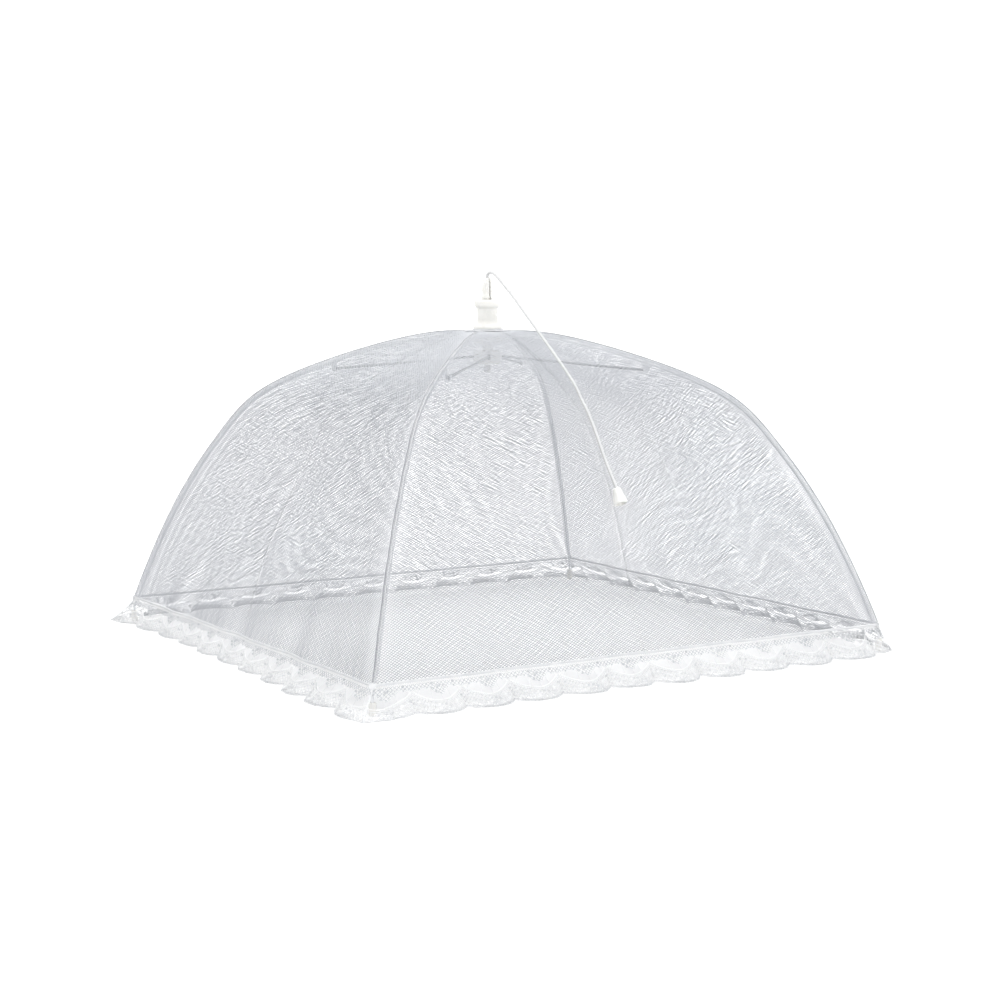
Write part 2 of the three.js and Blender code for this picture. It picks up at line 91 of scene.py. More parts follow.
# ------------------------------------------------------------------ mesh helpers
class Soup:
    """Collects closed tubes, rings and lathes, in millimetres, and makes one mesh of them."""

    def __init__(self, tone=None):
        self.v, self.faces, self.n = [], {}, 0
        self.tone, self.tones = tone, []

    def add(self, verts, *faces):
        verts = np.asarray(verts, float).reshape(-1, 3)
        for f in faces:
            f = np.asarray(f, np.int64)
            if len(f):
                self.faces.setdefault(f.shape[1], []).append(f + self.n)
        self.v.append(verts)
        if self.tone is not None:
            self.tones.append(np.full(len(verts), self.tone, np.float32))
        self.n += len(verts)

    def tube(self, p, up, r, sides=4, phase=0.0, flat=1.0, closed=False, section=None):
        """A closed tube along the points p; up gives, for each, the way its section faces."""
        p = np.asarray(p, float)
        n = len(p)
        up = np.broadcast_to(np.asarray(up, float), p.shape)
        if closed:
            t = np.roll(p, -1, 0) - np.roll(p, 1, 0)
        else:
            t = np.gradient(p, axis=0)
        t = t / np.maximum(np.linalg.norm(t, axis=1, keepdims=True), 1e-9)
        b = np.cross(t, up)
        b = b / np.maximum(np.linalg.norm(b, axis=1, keepdims=True), 1e-9)
        u = np.cross(b, t)
        if section is None:
            a = phase + np.arange(sides) * 2 * math.pi / sides
            sec = np.stack([np.cos(a), np.sin(a) * flat], 1)
        else:
            sec = np.asarray(section, float)
            sides = len(sec)
        r = np.broadcast_to(np.asarray(r, float), (n,))
        v = p[:, None] + (b[:, None] * sec[None, :, :1] + u[:, None] * sec[None, :, 1:]) * r[:, None, None]
        rows = n if closed else n - 1
        i = np.arange(rows)[:, None]
        j = np.arange(sides)[None, :]
        i2, j2 = (i + 1) % n, (j + 1) % sides
        quads = np.stack([i * sides + j, i2 * sides + j, i2 * sides + j2, i * sides + j2], -1).reshape(-1, 4)
        if closed:
            self.add(v, quads)
        else:
            ring = np.arange(sides)
            self.add(v, quads, np.stack([ring, ((n - 1) * sides + ring)[::-1]]))

    def lathe(self, prof, seg=48, matrix=None, wave=None):
        """A turned solid about Z from (radius, height) pairs. A profile that doesn't touch the axis closes on itself."""
        prof = np.asarray(prof, float)
        axis = prof[0, 0] < 1e-9 and prof[-1, 0] < 1e-9
        a = np.arange(seg) * 2 * math.pi / seg
        k = len(prof)
        rr = prof[:, 0][:, None] * np.ones(seg)[None, :]
        if wave is not None:
            rr = rr + wave(prof[:, 0][:, None], prof[:, 1][:, None], a[None, :])
        v = np.stack([rr * np.cos(a), rr * np.sin(a), prof[:, 1][:, None] * np.ones(seg)[None, :]], -1).reshape(-1, 3)
        rows = k - 1 if axis else k
        i = np.arange(rows)[:, None]
        j = np.arange(seg)[None, :]
        i2, j2 = (i + 1) % k, (j + 1) % seg
        quads = np.stack([i * seg + j, i * seg + j2, i2 * seg + j2, i2 * seg + j], -1).reshape(-1, 4)
        sets = [quads]
        if axis:
            # the end rings shrink to one point each
            top, bottom = k * seg, k * seg + 1
            v = np.concatenate([v, [[0, 0, prof[0, 1]], [0, 0, prof[-1, 1]]]])
            quads = quads[(quads // seg).min(1) > 0]
            quads = quads[(quads // seg).max(1) < k - 1]
            jj, jn = np.arange(seg), (np.arange(seg) + 1) % seg
            first = np.stack([np.full(seg, top), seg + jn, seg + jj], 1)
            last = np.stack([np.full(seg, bottom), (k - 2) * seg + jj, (k - 2) * seg + jn], 1)
            sets = [quads, first, last]
            used = np.unique(np.concatenate([s.ravel() for s in sets]))
            new = np.zeros(len(v), np.int64)
            new[used] = np.arange(len(used))
            v, sets = v[used], [new[s] for s in sets]
        # profiles run either way: turn the faces out
        s0 = sets[0]
        tri = v[s0[:, [0, 1, 2]]]
        tri2 = v[s0[:, [0, 2, 3]]]
        vol = np.einsum("ij,ij->i", tri[:, 0], np.cross(tri[:, 1], tri[:, 2])).sum()
        vol += np.einsum("ij,ij->i", tri2[:, 0], np.cross(tri2[:, 1], tri2[:, 2])).sum()
        for s in sets[1:]:
            tri = v[s]
            vol += np.einsum("ij,ij->i", tri[:, 0], np.cross(tri[:, 1], tri[:, 2])).sum()
        if vol < 0:
            sets = [s[:, ::-1] for s in sets]
        if matrix is not None:
            v = v @ np.asarray(matrix)[:3, :3].T + np.asarray(matrix)[:3, 3]
        self.add(v, *sets)

    def mesh(self, name, smooth=True):
        v = np.concatenate(self.v) * MM
        loops, starts, at = [], [], 0
        for size, group in sorted(self.faces.items()):
            f = np.concatenate(group)
            loops.append(f.ravel())
            starts.append(at + np.arange(len(f)) * size)
            at += f.size
        me = bpy.data.meshes.new(name)
        me.vertices.add(len(v))
        me.vertices.foreach_set("co", v.astype(np.float32).ravel())
        loops, starts = np.concatenate(loops), np.concatenate(starts)
        me.loops.add(len(loops))
        me.loops.foreach_set("vertex_index", loops.astype(np.int32))
        me.polygons.add(len(starts))
        me.polygons.foreach_set("loop_start", starts.astype(np.int32))
        me.update(calc_edges=True)
        me.polygons.foreach_set("use_smooth", np.full(len(starts), smooth))
        if self.tone is not None:
            at = me.attributes.new("thread", "FLOAT", "POINT")
            at.data.foreach_set("value", np.concatenate(self.tones))
        me.update()
        return me


def piece(name, source, material, smooth=True, sharp=None):
    me = source.mesh(name, smooth) if isinstance(source, Soup) else source
    me.materials.clear()
    me.materials.append(material)
    if sharp is not None:
        me.set_sharp_from_angle(angle=math.radians(sharp))
    ob = bpy.data.objects.new(name, me)
    bpy.context.collection.objects.link(ob)
    return ob


def evaluated(ob):
    """The mesh of ob with its modifiers applied; ob itself is removed."""
    dg = bpy.context.evaluated_depsgraph_get()
    dg.update()
    me = bpy.data.meshes.new_from_object(ob.evaluated_get(dg))
    old = ob.data
    bpy.data.objects.remove(ob)
    bpy.data.meshes.remove(old)
    return me


def cut(base, tools, bevel=None):
    """base minus every tool, both Soups, as a mesh."""
    ob = bpy.data.objects.new("cut_base", base.mesh("cut_base"))
    bpy.context.collection.objects.link(ob)
    extra = []
    for t in tools:
        tool = bpy.data.objects.new("cut_tool", t.mesh("cut_tool"))
        bpy.context.collection.objects.link(tool)
        m = ob.modifiers.new("cut", "BOOLEAN")
        m.operation, m.solver, m.object = "DIFFERENCE", "EXACT", tool
        extra.append(tool)
    if bevel:
        m = ob.modifiers.new("edge", "BEVEL")
        m.width, m.segments, m.limit_method, m.angle_limit = bevel * MM, 2, "ANGLE", math.radians(40)
    me = evaluated(ob)
    for tool in extra:
        old = tool.data
        bpy.data.objects.remove(tool)
        bpy.data.meshes.remove(old)
    me.polygons.foreach_set("use_smooth", np.full(len(me.polygons), True))
    return me


def rounded(points, radius=0.3, steps=3):
    """The closed or open profile with its corners rounded."""
    pts = np.asarray(points, float)
    closed = not (pts[0, 0] < 1e-9 and pts[-1, 0] < 1e-9)
    out = []
    n = len(pts)
    for i in range(n):
        if not closed and i in (0, n - 1):
            out.append(pts[i])
            continue
        a, b, c = pts[i - 1], pts[i], pts[(i + 1) % n]
        la, lc = np.linalg.norm(a - b), np.linalg.norm(c - b)
        k = min(radius, 0.45 * la, 0.45 * lc)
        p, q = b + (a - b) / la * k, b + (c - b) / lc * k
        for s in np.linspace(0, 1, steps + 1):
            out.append((1 - s) ** 2 * p + 2 * s * (1 - s) * b + s * s * q)
    return np.array(out)


def turn_z(a):
    c, s = math.cos(a), math.sin(a)
    return np.array([[c, -s, 0], [s, c, 0], [0, 0, 1.0]])


def along_y(r, y0, y1, x, z, seg=32, chamfer=0.15):
    """A pin along Y with chamfered ends, as a (profile, matrix) pair for Soup.lathe."""
    prof = [[0, y0], [r - chamfer, y0], [r, y0 + chamfer], [r, y1 - chamfer], [r - chamfer, y1], [0, y1]]
    m = np.eye(4)
    # local Z to +Y, local X stays, so local Y goes to -Z
    m[:3, :3] = np.array([[1, 0, 0], [0, 0, 1], [0, -1, 0]], float)
    m[:3, 3] = (x, 0, z)
    return prof, m


def catmull(points, per=12):
    """Centripetal Catmull-Rom curve through the points."""
    p = np.asarray(points, float)
    ext = np.concatenate([[2 * p[0] - p[1]], p, [2 * p[-1] - p[-2]]])
    out = []
    for i in range(1, len(ext) - 2):
        x0, x1, x2, x3 = ext[i - 1], ext[i], ext[i + 1], ext[i + 2]
        d0 = max(np.linalg.norm(x1 - x0) ** 0.5, 1e-4)
        d1 = max(np.linalg.norm(x2 - x1) ** 0.5, 1e-4)
        d2 = max(np.linalg.norm(x3 - x2) ** 0.5, 1e-4)
        t1 = ((x1 - x0) / d0 - (x2 - x0) / (d0 + d1) + (x2 - x1) / d1) * d1
        t2 = ((x2 - x1) / d1 - (x3 - x1) / (d1 + d2) + (x3 - x2) / d2) * d1
        s = (np.arange(per) / per)[:, None]
        c2 = -3 * x1 + 3 * x2 - 2 * t1 - t2
        c3 = 2 * x1 - 2 * x2 + t1 + t2
        out.append(x1 + t1 * s + c2 * s * s + c3 * s ** 3)
    out.append(p[-1][None])
    return np.concatenate(out)


def evenly(points, step):
    """The polyline with even steps of about this length."""
    p = np.asarray(points, float)
    s = np.concatenate([[0], np.cumsum(np.linalg.norm(np.diff(p, axis=0), axis=1))])
    k = max(2, int(round(s[-1] / step)) + 1)
    t = np.linspace(0, s[-1], k)
    return np.stack([np.interp(t, s, p[:, i]) for i in range(p.shape[1])], 1)


def smooth01(x):
    x = np.clip(x, 0, 1)
    return x * x * (3 - 2 * x)


# ------------------------------------------------------------------ materials
def material(name, colours, rough, metal=0.0, scale=60.0, detail=3.0, bump=None, sheen=0.0, specular=0.5,
             subsurface=0.0, coat=0.0, stretch=(1, 1, 1), rough_var=0.08, weave=None, heavy_yarn_and_painted_light=None):
    """A procedural finish: noise runs between two colours, drives the roughness and raises a small bump.
    The second pair of colours is mixed in by the mesh's thread attribute, from 0 to 1. On the lace it gives the heavier
    threads, on the net it is painted light and on the seam it is painted shade."""
    m = bpy.data.materials.new(name)
    m.use_nodes = True
    nt = m.node_tree
    bs = nt.nodes["Principled BSDF"]
    tc = nt.nodes.new("ShaderNodeTexCoord")
    mp = nt.nodes.new("ShaderNodeMapping")
    mp.inputs["Scale"].default_value = stretch
    nt.links.new(tc.outputs["Object"], mp.inputs["Vector"])
    no = nt.nodes.new("ShaderNodeTexNoise")
    no.inputs["Scale"].default_value = scale
    no.inputs["Detail"].default_value = detail
    nt.links.new(mp.outputs["Vector"], no.inputs["Vector"])
    ra = nt.nodes.new("ShaderNodeValToRGB")
    ra.color_ramp.elements[0].position, ra.color_ramp.elements[1].position = 0.32, 0.68
    ra.color_ramp.elements[0].color = (*colours[0], 1)
    ra.color_ramp.elements[1].color = (*colours[1], 1)
    nt.links.new(no.outputs["Fac"], ra.inputs["Fac"])
    if heavy_yarn_and_painted_light:
        rb = nt.nodes.new("ShaderNodeValToRGB")
        rb.color_ramp.elements[0].position, rb.color_ramp.elements[1].position = 0.32, 0.68
        rb.color_ramp.elements[0].color = (*heavy_yarn_and_painted_light[0], 1)
        rb.color_ramp.elements[1].color = (*heavy_yarn_and_painted_light[1], 1)
        nt.links.new(no.outputs["Fac"], rb.inputs["Fac"])
        th = nt.nodes.new("ShaderNodeAttribute")
        th.attribute_type, th.attribute_name = "GEOMETRY", "thread"
        mx = nt.nodes.new("ShaderNodeMix")
        mx.data_type = "RGBA"
        nt.links.new(th.outputs["Fac"], mx.inputs["Factor"])
        nt.links.new(ra.outputs["Color"], mx.inputs[6])
        nt.links.new(rb.outputs["Color"], mx.inputs[7])
        nt.links.new(mx.outputs[2], bs.inputs["Base Color"])
    else:
        nt.links.new(ra.outputs["Color"], bs.inputs["Base Color"])
    mr = nt.nodes.new("ShaderNodeMapRange")
    mr.inputs["To Min"].default_value = max(0.02, rough - rough_var)
    mr.inputs["To Max"].default_value = min(1.0, rough + rough_var)
    nt.links.new(no.outputs["Fac"], mr.inputs["Value"])
    nt.links.new(mr.outputs["Result"], bs.inputs["Roughness"])
    bs.inputs["Metallic"].default_value = metal
    bs.inputs["Specular IOR Level"].default_value = specular
    bs.inputs["Sheen Weight"].default_value = sheen
    bs.inputs["Coat Weight"].default_value = coat
    if subsurface:
        bs.inputs["Subsurface Weight"].default_value = subsurface
        bs.inputs["Subsurface Radius"].default_value = (1.0, 0.95, 0.85)
        bs.inputs["Subsurface Scale"].default_value = 0.004
    height = None
    if bump:
        n2 = nt.nodes.new("ShaderNodeTexNoise")
        n2.inputs["Scale"].default_value = bump[0]
        n2.inputs["Detail"].default_value = 2.0
        nt.links.new(mp.outputs["Vector"], n2.inputs["Vector"])
        height = n2.outputs["Fac"]
    if weave:
        wv = nt.nodes.new("ShaderNodeTexWave")
        wv.wave_type, wv.bands_direction = "BANDS", "DIAGONAL"
        wv.inputs["Scale"].default_value = weave
        wv.inputs["Distortion"].default_value = 0.6
        nt.links.new(mp.outputs["Vector"], wv.inputs["Vector"])
        if height is None:
            height = wv.outputs["Fac"]
        else:
            ad = nt.nodes.new("ShaderNodeMath")
            ad.operation = "ADD"
            nt.links.new(height, ad.inputs[0])
            nt.links.new(wv.outputs["Fac"], ad.inputs[1])
            height = ad.outputs[0]
    if height is not None:
        bu = nt.nodes.new("ShaderNodeBump")
        bu.inputs["Strength"].default_value = 1.0
        bu.inputs["Distance"].default_value = bump[1] if bump else 0.00005
        nt.links.new(height, bu.inputs["Height"])
        nt.links.new(bu.outputs["Normal"], bs.inputs["Normal"])
    return m


# net: the lighter second pair is painted light, mixed in towards the crown, along the ribs and over the right and rear
# panels
NET = material("net_yarn", [(0.375, 0.39, 0.422), (0.435, 0.45, 0.481)], 0.62, scale=18, sheen=0.0, specular=0.35, heavy_yarn_and_painted_light=[(0.56, 0.575, 0.605), (0.61, 0.625, 0.655)])
# seam: the dark second pair is painted shade, on the covering thread that lies in the gap between two panels
SEAM = material("seam_yarn", [(0.74, 0.75, 0.77), (0.82, 0.825, 0.835)], 0.6, scale=90, specular=0.35, bump=(2500, 0.00003), heavy_yarn_and_painted_light=[(0.27, 0.28, 0.305), (0.36, 0.37, 0.39)])
SLEEVE = material("sleeve_yarn", [(0.76, 0.77, 0.79), (0.84, 0.845, 0.86)], 0.6, scale=40, specular=0.35)
TAPE = material("tape_weave", [(0.70, 0.71, 0.73), (0.78, 0.785, 0.795)], 0.62, scale=120, specular=0.35, bump=(3000, 0.00004), weave=700)
LACE = material("lace_yarn", [(0.49, 0.505, 0.53), (0.59, 0.60, 0.615)], 0.65, scale=60, specular=0.3, heavy_yarn_and_painted_light=[(0.85, 0.855, 0.86), (0.91, 0.91, 0.91)])
CORD = material("cord_yarn", [(0.54, 0.545, 0.55), (0.62, 0.62, 0.62)], 0.5, scale=300, specular=0.4, bump=(4000, 0.00004))
PLASTIC = material("milky_plastic", [(0.71, 0.705, 0.675), (0.77, 0.765, 0.74)], 0.28, scale=45, specular=0.5, subsurface=0.35, bump=(220, 0.00004), rough_var=0.06)
STEEL = material("zinc_wire", [(0.74, 0.75, 0.77), (0.86, 0.87, 0.885)], 0.42, metal=1.0, scale=140, bump=(900, 0.00003), stretch=(1, 1, 1))
BARE = material("dark_wire", [(0.20, 0.21, 0.225), (0.30, 0.31, 0.325)], 0.36, metal=1.0, scale=140, bump=(900, 0.00003))
TIN = material("tin_sheet", [(0.74, 0.75, 0.76), (0.86, 0.87, 0.88)], 0.36, metal=1.0, scale=220, bump=(700, 0.00004))

# ------------------------------------------------------------------ the dome
HALF, Z_HEM = 215.0, 20.0
SAG = 6.0
PROFILE = [[0, 240.2], [14, 239.6], [39.4, 246.9], [189.5, 201.8], [220.1, 165.7], [271.4, 99.8], [304.06, Z_HEM]]
RIB_DEPTH = 3.3
FOOT_R = 304.6


def bspline(ctrl, t, k=3):
    """Clamped uniform cubic B-spline."""
    ctrl = np.asarray(ctrl, float)
    n = len(ctrl)
    knots = np.concatenate([np.zeros(k), np.linspace(0, 1, n - k + 1), np.ones(k)])
    t = np.clip(np.asarray(t, float), 0, 1 - 1e-12)
    basis = np.array([(t >= knots[i]) & (t < knots[i + 1]) for i in range(n + k)], float)
    for d in range(1, k + 1):
        new = np.zeros((n + k - d, len(t)))
        for i in range(n + k - d):
            a, b = knots[i + d] - knots[i], knots[i + d + 1] - knots[i + 1]
            if a > 0:
                new[i] += (t - knots[i]) / a * basis[i]
            if b > 0:
                new[i] += (knots[i + d + 1] - t) / b * basis[i + 1]
        basis = new
    return basis.T @ ctrl


DOME = bspline(PROFILE, np.linspace(0, 1, 1201))
ARC = np.concatenate([[0], np.cumsum(np.hypot(*np.diff(DOME, axis=0).T))])
ARC_LEN = ARC[-1]
_g = np.gradient(DOME, ARC, axis=0)
_g = _g / np.linalg.norm(_g, axis=1, keepdims=True)
DOME_N = np.stack([-_g[:, 1], _g[:, 0]], 1)
H_ALL = DOME[:, 0] / R2                     # half width of a panel at each station
# length along a panel's middle, which is where its flat pattern is measured
LAY = np.concatenate([[0], np.cumsum(np.hypot(np.diff(H_ALL), np.diff(DOME[:, 1])))])
LAY_LEN = LAY[-1]
_p = np.stack([np.gradient(H_ALL, LAY), np.gradient(DOME[:, 1], LAY)], 1)
_p = _p / np.linalg.norm(_p, axis=1, keepdims=True)
PANEL_N = np.stack([-_p[:, 1], _p[:, 0]], 1)  # outward, up


def dome(s):
    s = np.asarray(s, float)
    n = np.stack([np.interp(s, ARC, DOME_N[:, 0]), np.interp(s, ARC, DOME_N[:, 1])], -1)
    return np.interp(s, ARC, DOME[:, 0]), np.interp(s, ARC, DOME[:, 1]), unit(n)


def arc_at(r):
    return np.interp(r, DOME[:, 0], ARC)


def hem_wave(side, x):
    """How far the hem stands out from its straight line."""
    n = np.clip(np.abs(x) / HALF, 0, 1)
    k = side * 1.7
    return (0.9 * np.sin(2 * math.pi * x / 83 + k) + 0.55 * np.sin(2 * math.pi * x / 47 + 2.1 * k + 1)) * (1 - n ** 4)


def panel(side, x, t, off=0.0):
    """A point of the net: x across the panel, t down its middle, off outside it. Panel 0 is the front (-Y)."""
    x, t = np.asarray(x, float), np.asarray(t, float)
    h = np.interp(t, LAY, H_ALL)
    z = np.interp(t, LAY, DOME[:, 1])
    s = np.interp(t, LAY, ARC)
    nh, nz = np.interp(t, LAY, PANEL_N[:, 0]), np.interp(t, LAY, PANEL_N[:, 1])
    n = np.clip(np.abs(x) / np.maximum(h, 1e-6), 0, 1)
    q = s / ARC_LEN
    sag = (SAG * 4 * q * (1 - q) + 1.5 * q) * (1 - n * n) * np.minimum(1, s / 60)
    k = side * 1.3
    edge = 1 - n * n
    low = smooth01((t / LAY_LEN - 0.72) / 0.28)
    d = off - sag
    d = d + 0.55 * np.sin(2 * math.pi * x / 92 + k) * np.sin(2 * math.pi * t / 105 + 1.9 * k) * edge * smooth01(t / 60)
    d = d + hem_wave(side, x) * low
    d = d + 0.22 * np.sin(2 * math.pi * x / 10.7 + 3 * np.sin(x / 31 + k)) * smooth01((t / LAY_LEN - 0.93) / 0.07) * smooth01((1 - n) * 9)
    return np.stack([x, -(h + nh * d), z + nz * d], -1), np.stack([0 * x, -nh, nz], -1), n


SIDES = [("front", 0.0, (1, 2)), ("right", math.pi / 2, (2, 3)), ("rear", math.pi, (3, 4)), ("left", -math.pi / 2, (4, 1))]
CORNER = [math.radians(a) for a in (225, 315, 45, 135)]

# ------------------------------------------------------------------ pull cord
CORD_R = 1.1
STEM_TIP = 282.0


def middle(h, off):
    """Point of the front panel's middle line at that half width, off outside the net, without the small waves."""
    s = arc_at(h * R2)
    r, z = np.interp(s, ARC, DOME[:, 0]), np.interp(s, ARC, DOME[:, 1])
    t = np.interp(s, ARC, LAY)
    nh, nz = np.interp(t, LAY, PANEL_N[:, 0]), np.interp(t, LAY, PANEL_N[:, 1])
    q = s / ARC_LEN
    d = off - (SAG * 4 * q * (1 - q) + 1.5 * q) * min(1, s / 60)
    return np.array([0.0, -(r / R2 + nh * d), z + nz * d])


BELL_OFF = 5.9
BELL_X = 4.2
CORD_PTS = [[0, 0, 281.8], [0, -0.05, 283.2], [0, -1.0, 285.0], [0.1, -3.3, 286.0], [0.3, -7.8, 285.8], [0.4, -13.6, 283.3], [0.6, -20.7, 278.8],
            [1.6, -32.9, 269.8], [2.9, -45.5, 259.2], [3.9, -59.6, 248.0], [4.5, -77.1, 234.5], [4.9, -92.0, 223.3], [5.0, -106.5, 212.3], [5.0, -118.2, 202.4]]
CORD_PTS += [middle(h, off) + [x, 0, 0] for x, h, off in ([4.8, 130, 2.0], [4.4, 139, 1.75], [4.0, 148, 1.75], [4.0, 157, 1.9], [4.1, 163.5, 2.6],
                                                         [4.2, 169, 4.1], [BELL_X, 172.8, 5.4], [BELL_X, 175.2, BELL_OFF - 0.1])]
CORD_LINE = evenly(catmull(CORD_PTS, 16), 0.42)


def braid(soup, line, up, r, sides=20, strands=5, lay=7.0):
    """A cord of two sets of strands wound against each other, as one tube with their relief."""
    line = np.asarray(line, float)
    n = len(line)
    t = unit(np.gradient(line, axis=0))
    up = np.broadcast_to(np.asarray(up, float), line.shape)
    b = unit(np.cross(t, up))
    u = np.cross(b, t)
    s = np.concatenate([[0], np.cumsum(np.linalg.norm(np.diff(line, axis=0), axis=1))])[:, None]
    a = (np.arange(sides) * 2 * math.pi / sides)[None, :]
    w1 = 0.5 + 0.5 * np.cos(strands * a + 2 * math.pi * s / lay * strands / 2.0)
    w2 = 0.5 + 0.5 * np.cos(strands * a - 2 * math.pi * s / lay * strands / 2.0)
    over = np.cos(2 * math.pi * s / lay * strands) > 0
    relief = np.where(over, np.maximum(w1, 0.8 * w2), np.maximum(w2, 0.8 * w1))
    rad = r * (0.90 + 0.13 * relief)
    v = line[:, None] + (b[:, None] * np.cos(a)[..., None] + u[:, None] * np.sin(a)[..., None]) * rad[..., None]
    i = np.arange(n - 1)[:, None]
    j = np.arange(sides)[None, :]
    j2 = (j + 1) % sides
    quads = np.stack([i * sides + j, (i + 1) * sides + j, (i + 1) * sides + j2, i * sides + j2], -1).reshape(-1, 4)
    ring = np.arange(sides)
    soup.add(v, quads, np.stack([ring, ((n - 1) * sides + ring)[::-1]]))


sp = Soup()
braid(sp, CORD_LINE, [1, 0, 0], CORD_R)
pull = piece("pull_cord_free", sp, CORD)
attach(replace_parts(pull, "pull_cord"), "crown")


def knot(name, matrix, size, height, r=CORD_R):
    """A tight overhand knot, its turns pressed into each other."""
    t = np.linspace(0, 2 * math.pi, 140, endpoint=False)
    k = (size - r) / 3.0
    line = np.stack([k * (np.sin(t) + 2 * np.sin(2 * t)), k * (np.cos(t) - 2 * np.cos(2 * t)), -np.sin(3 * t) * (height / 2 - r) * 1.0], 1)
    so = Soup()
    so.tube(line, [0, 0, 1], r, sides=14, closed=True)
    prof = [[0, -height * 0.36], [r * 0.9, -height * 0.30], [size * 0.55, 0], [r * 0.9, height * 0.30], [0, height * 0.36]]
    so.lathe(prof, 20)
    ob = bpy.data.objects.new(name + "_raw", so.mesh(name + "_raw"))
    bpy.context.collection.objects.link(ob)
    m = ob.modifiers.new("one_skin", "REMESH")
    m.mode, m.voxel_size, m.use_smooth_shade = "VOXEL", 0.16 * MM, True
    s2 = ob.modifiers.new("soft", "SMOOTH")
    s2.factor, s2.iterations = 0.5, 2
    me = evaluated(ob)
    me.name = name
    v = np.empty(len(me.vertices) * 3, np.float32)
    me.vertices.foreach_get("co", v)
    v = v.reshape(-1, 3) @ matrix[:3, :3].T + matrix[:3, 3] * MM
    me.vertices.foreach_set("co", v.astype(np.float32).ravel())
    me.update()
    return piece(name, me, CORD)


# bell on the cord's end, its axis along the cord
_a, _b = middle(173.5, BELL_OFF - 0.35) + [BELL_X, 0, 0], middle(184, BELL_OFF + 0.1) + [BELL_X, 0, 0]
_ax = unit(_b - _a)
BELL = np.eye(4)
BELL[:3, 2] = _ax
BELL[:3, 0] = (1, 0, 0)
BELL[:3, 1] = np.cross(_ax, [1.0, 0, 0])
BELL[:3, 3] = _a


def flutes(r, z, a):
    """Eight shallow flutes in the bell's skirt, gone at its neck."""
    outer = (r > 3.55 + 0.0 * a)
    return np.where(outer, -0.16 * (0.5 - 0.5 * np.cos(8 * a)) * smooth01((z - 2.5) / 4), 0.0)


sp = Soup()
bell_prof = rounded([[1.5, 0], [2.4, 0], [3.1, 1.0], [3.5, 3.0], [4.1, 6.0], [4.9, 9.4], [5.1, 11.2], [4.8, 12], [4.1, 12], [3.7, 9.0], [3.3, 5.4], [1.5, 3.4]], 0.45, 3)
sp.lathe(bell_prof, 64, BELL, wave=flutes)
bell = piece("bell", sp, PLASTIC, sharp=50)
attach(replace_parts(bell, "cord_bell"), "crown")

_k = BELL.copy()
_k[:3, 3] = _a + _ax * 7.2
end_knot = knot("end_knot", _k, 2.5, 4.4, r=0.95)
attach(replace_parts(end_knot, "bell_knot"), "crown")

# the cord's part inside the stem, from its tip down to the runner
sp = Soup()
braid(sp, np.stack([np.zeros(160), np.zeros(160), np.linspace(281.6, 214.6, 160)], 1), [1, 0, 0], CORD_R)
core = piece("pull_cord_inner", sp, CORD)
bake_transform(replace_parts(core, "pull_cord_core"))

_k = np.eye(4)
_k[:3, 3] = (0, 0, 211.3)
low_knot = knot("lower_knot", _k, 3.3, 6.4)
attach(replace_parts(low_knot, "runner_knot"), "runner")

# ------------------------------------------------------------------ net
STEP = 2.97                    # width of a mesh along the hem
LEAN = 1.65                    # how many times wider than high a mesh is
YARN = [[-0.19, -0.09], [0.19, -0.09], [0.0, 0.22]]    # section of a yarn, flat in the net's plane
CROWN_HOLE = 7.0


def weight(n):
    return smooth01(n)


def verts_of(ob):
    co = np.empty(len(ob.data.vertices) * 3, np.float32)
    ob.data.vertices.foreach_get("co", co)
    return co.reshape(-1, 3).astype(float)


def local_of(ob, angle):
    """The piece's points, turned back so that its panel is the front one, in millimetres."""
    return verts_of(ob) / MM @ turn_z(angle)


def width_at(p):
    """Share of the way from the panel's middle to its rib, for points on or near the net, hem or lace."""
    return np.clip(np.abs(p[:, 0]) / np.maximum(np.abs(p[:, 1]), 1e-6), 0, 1)


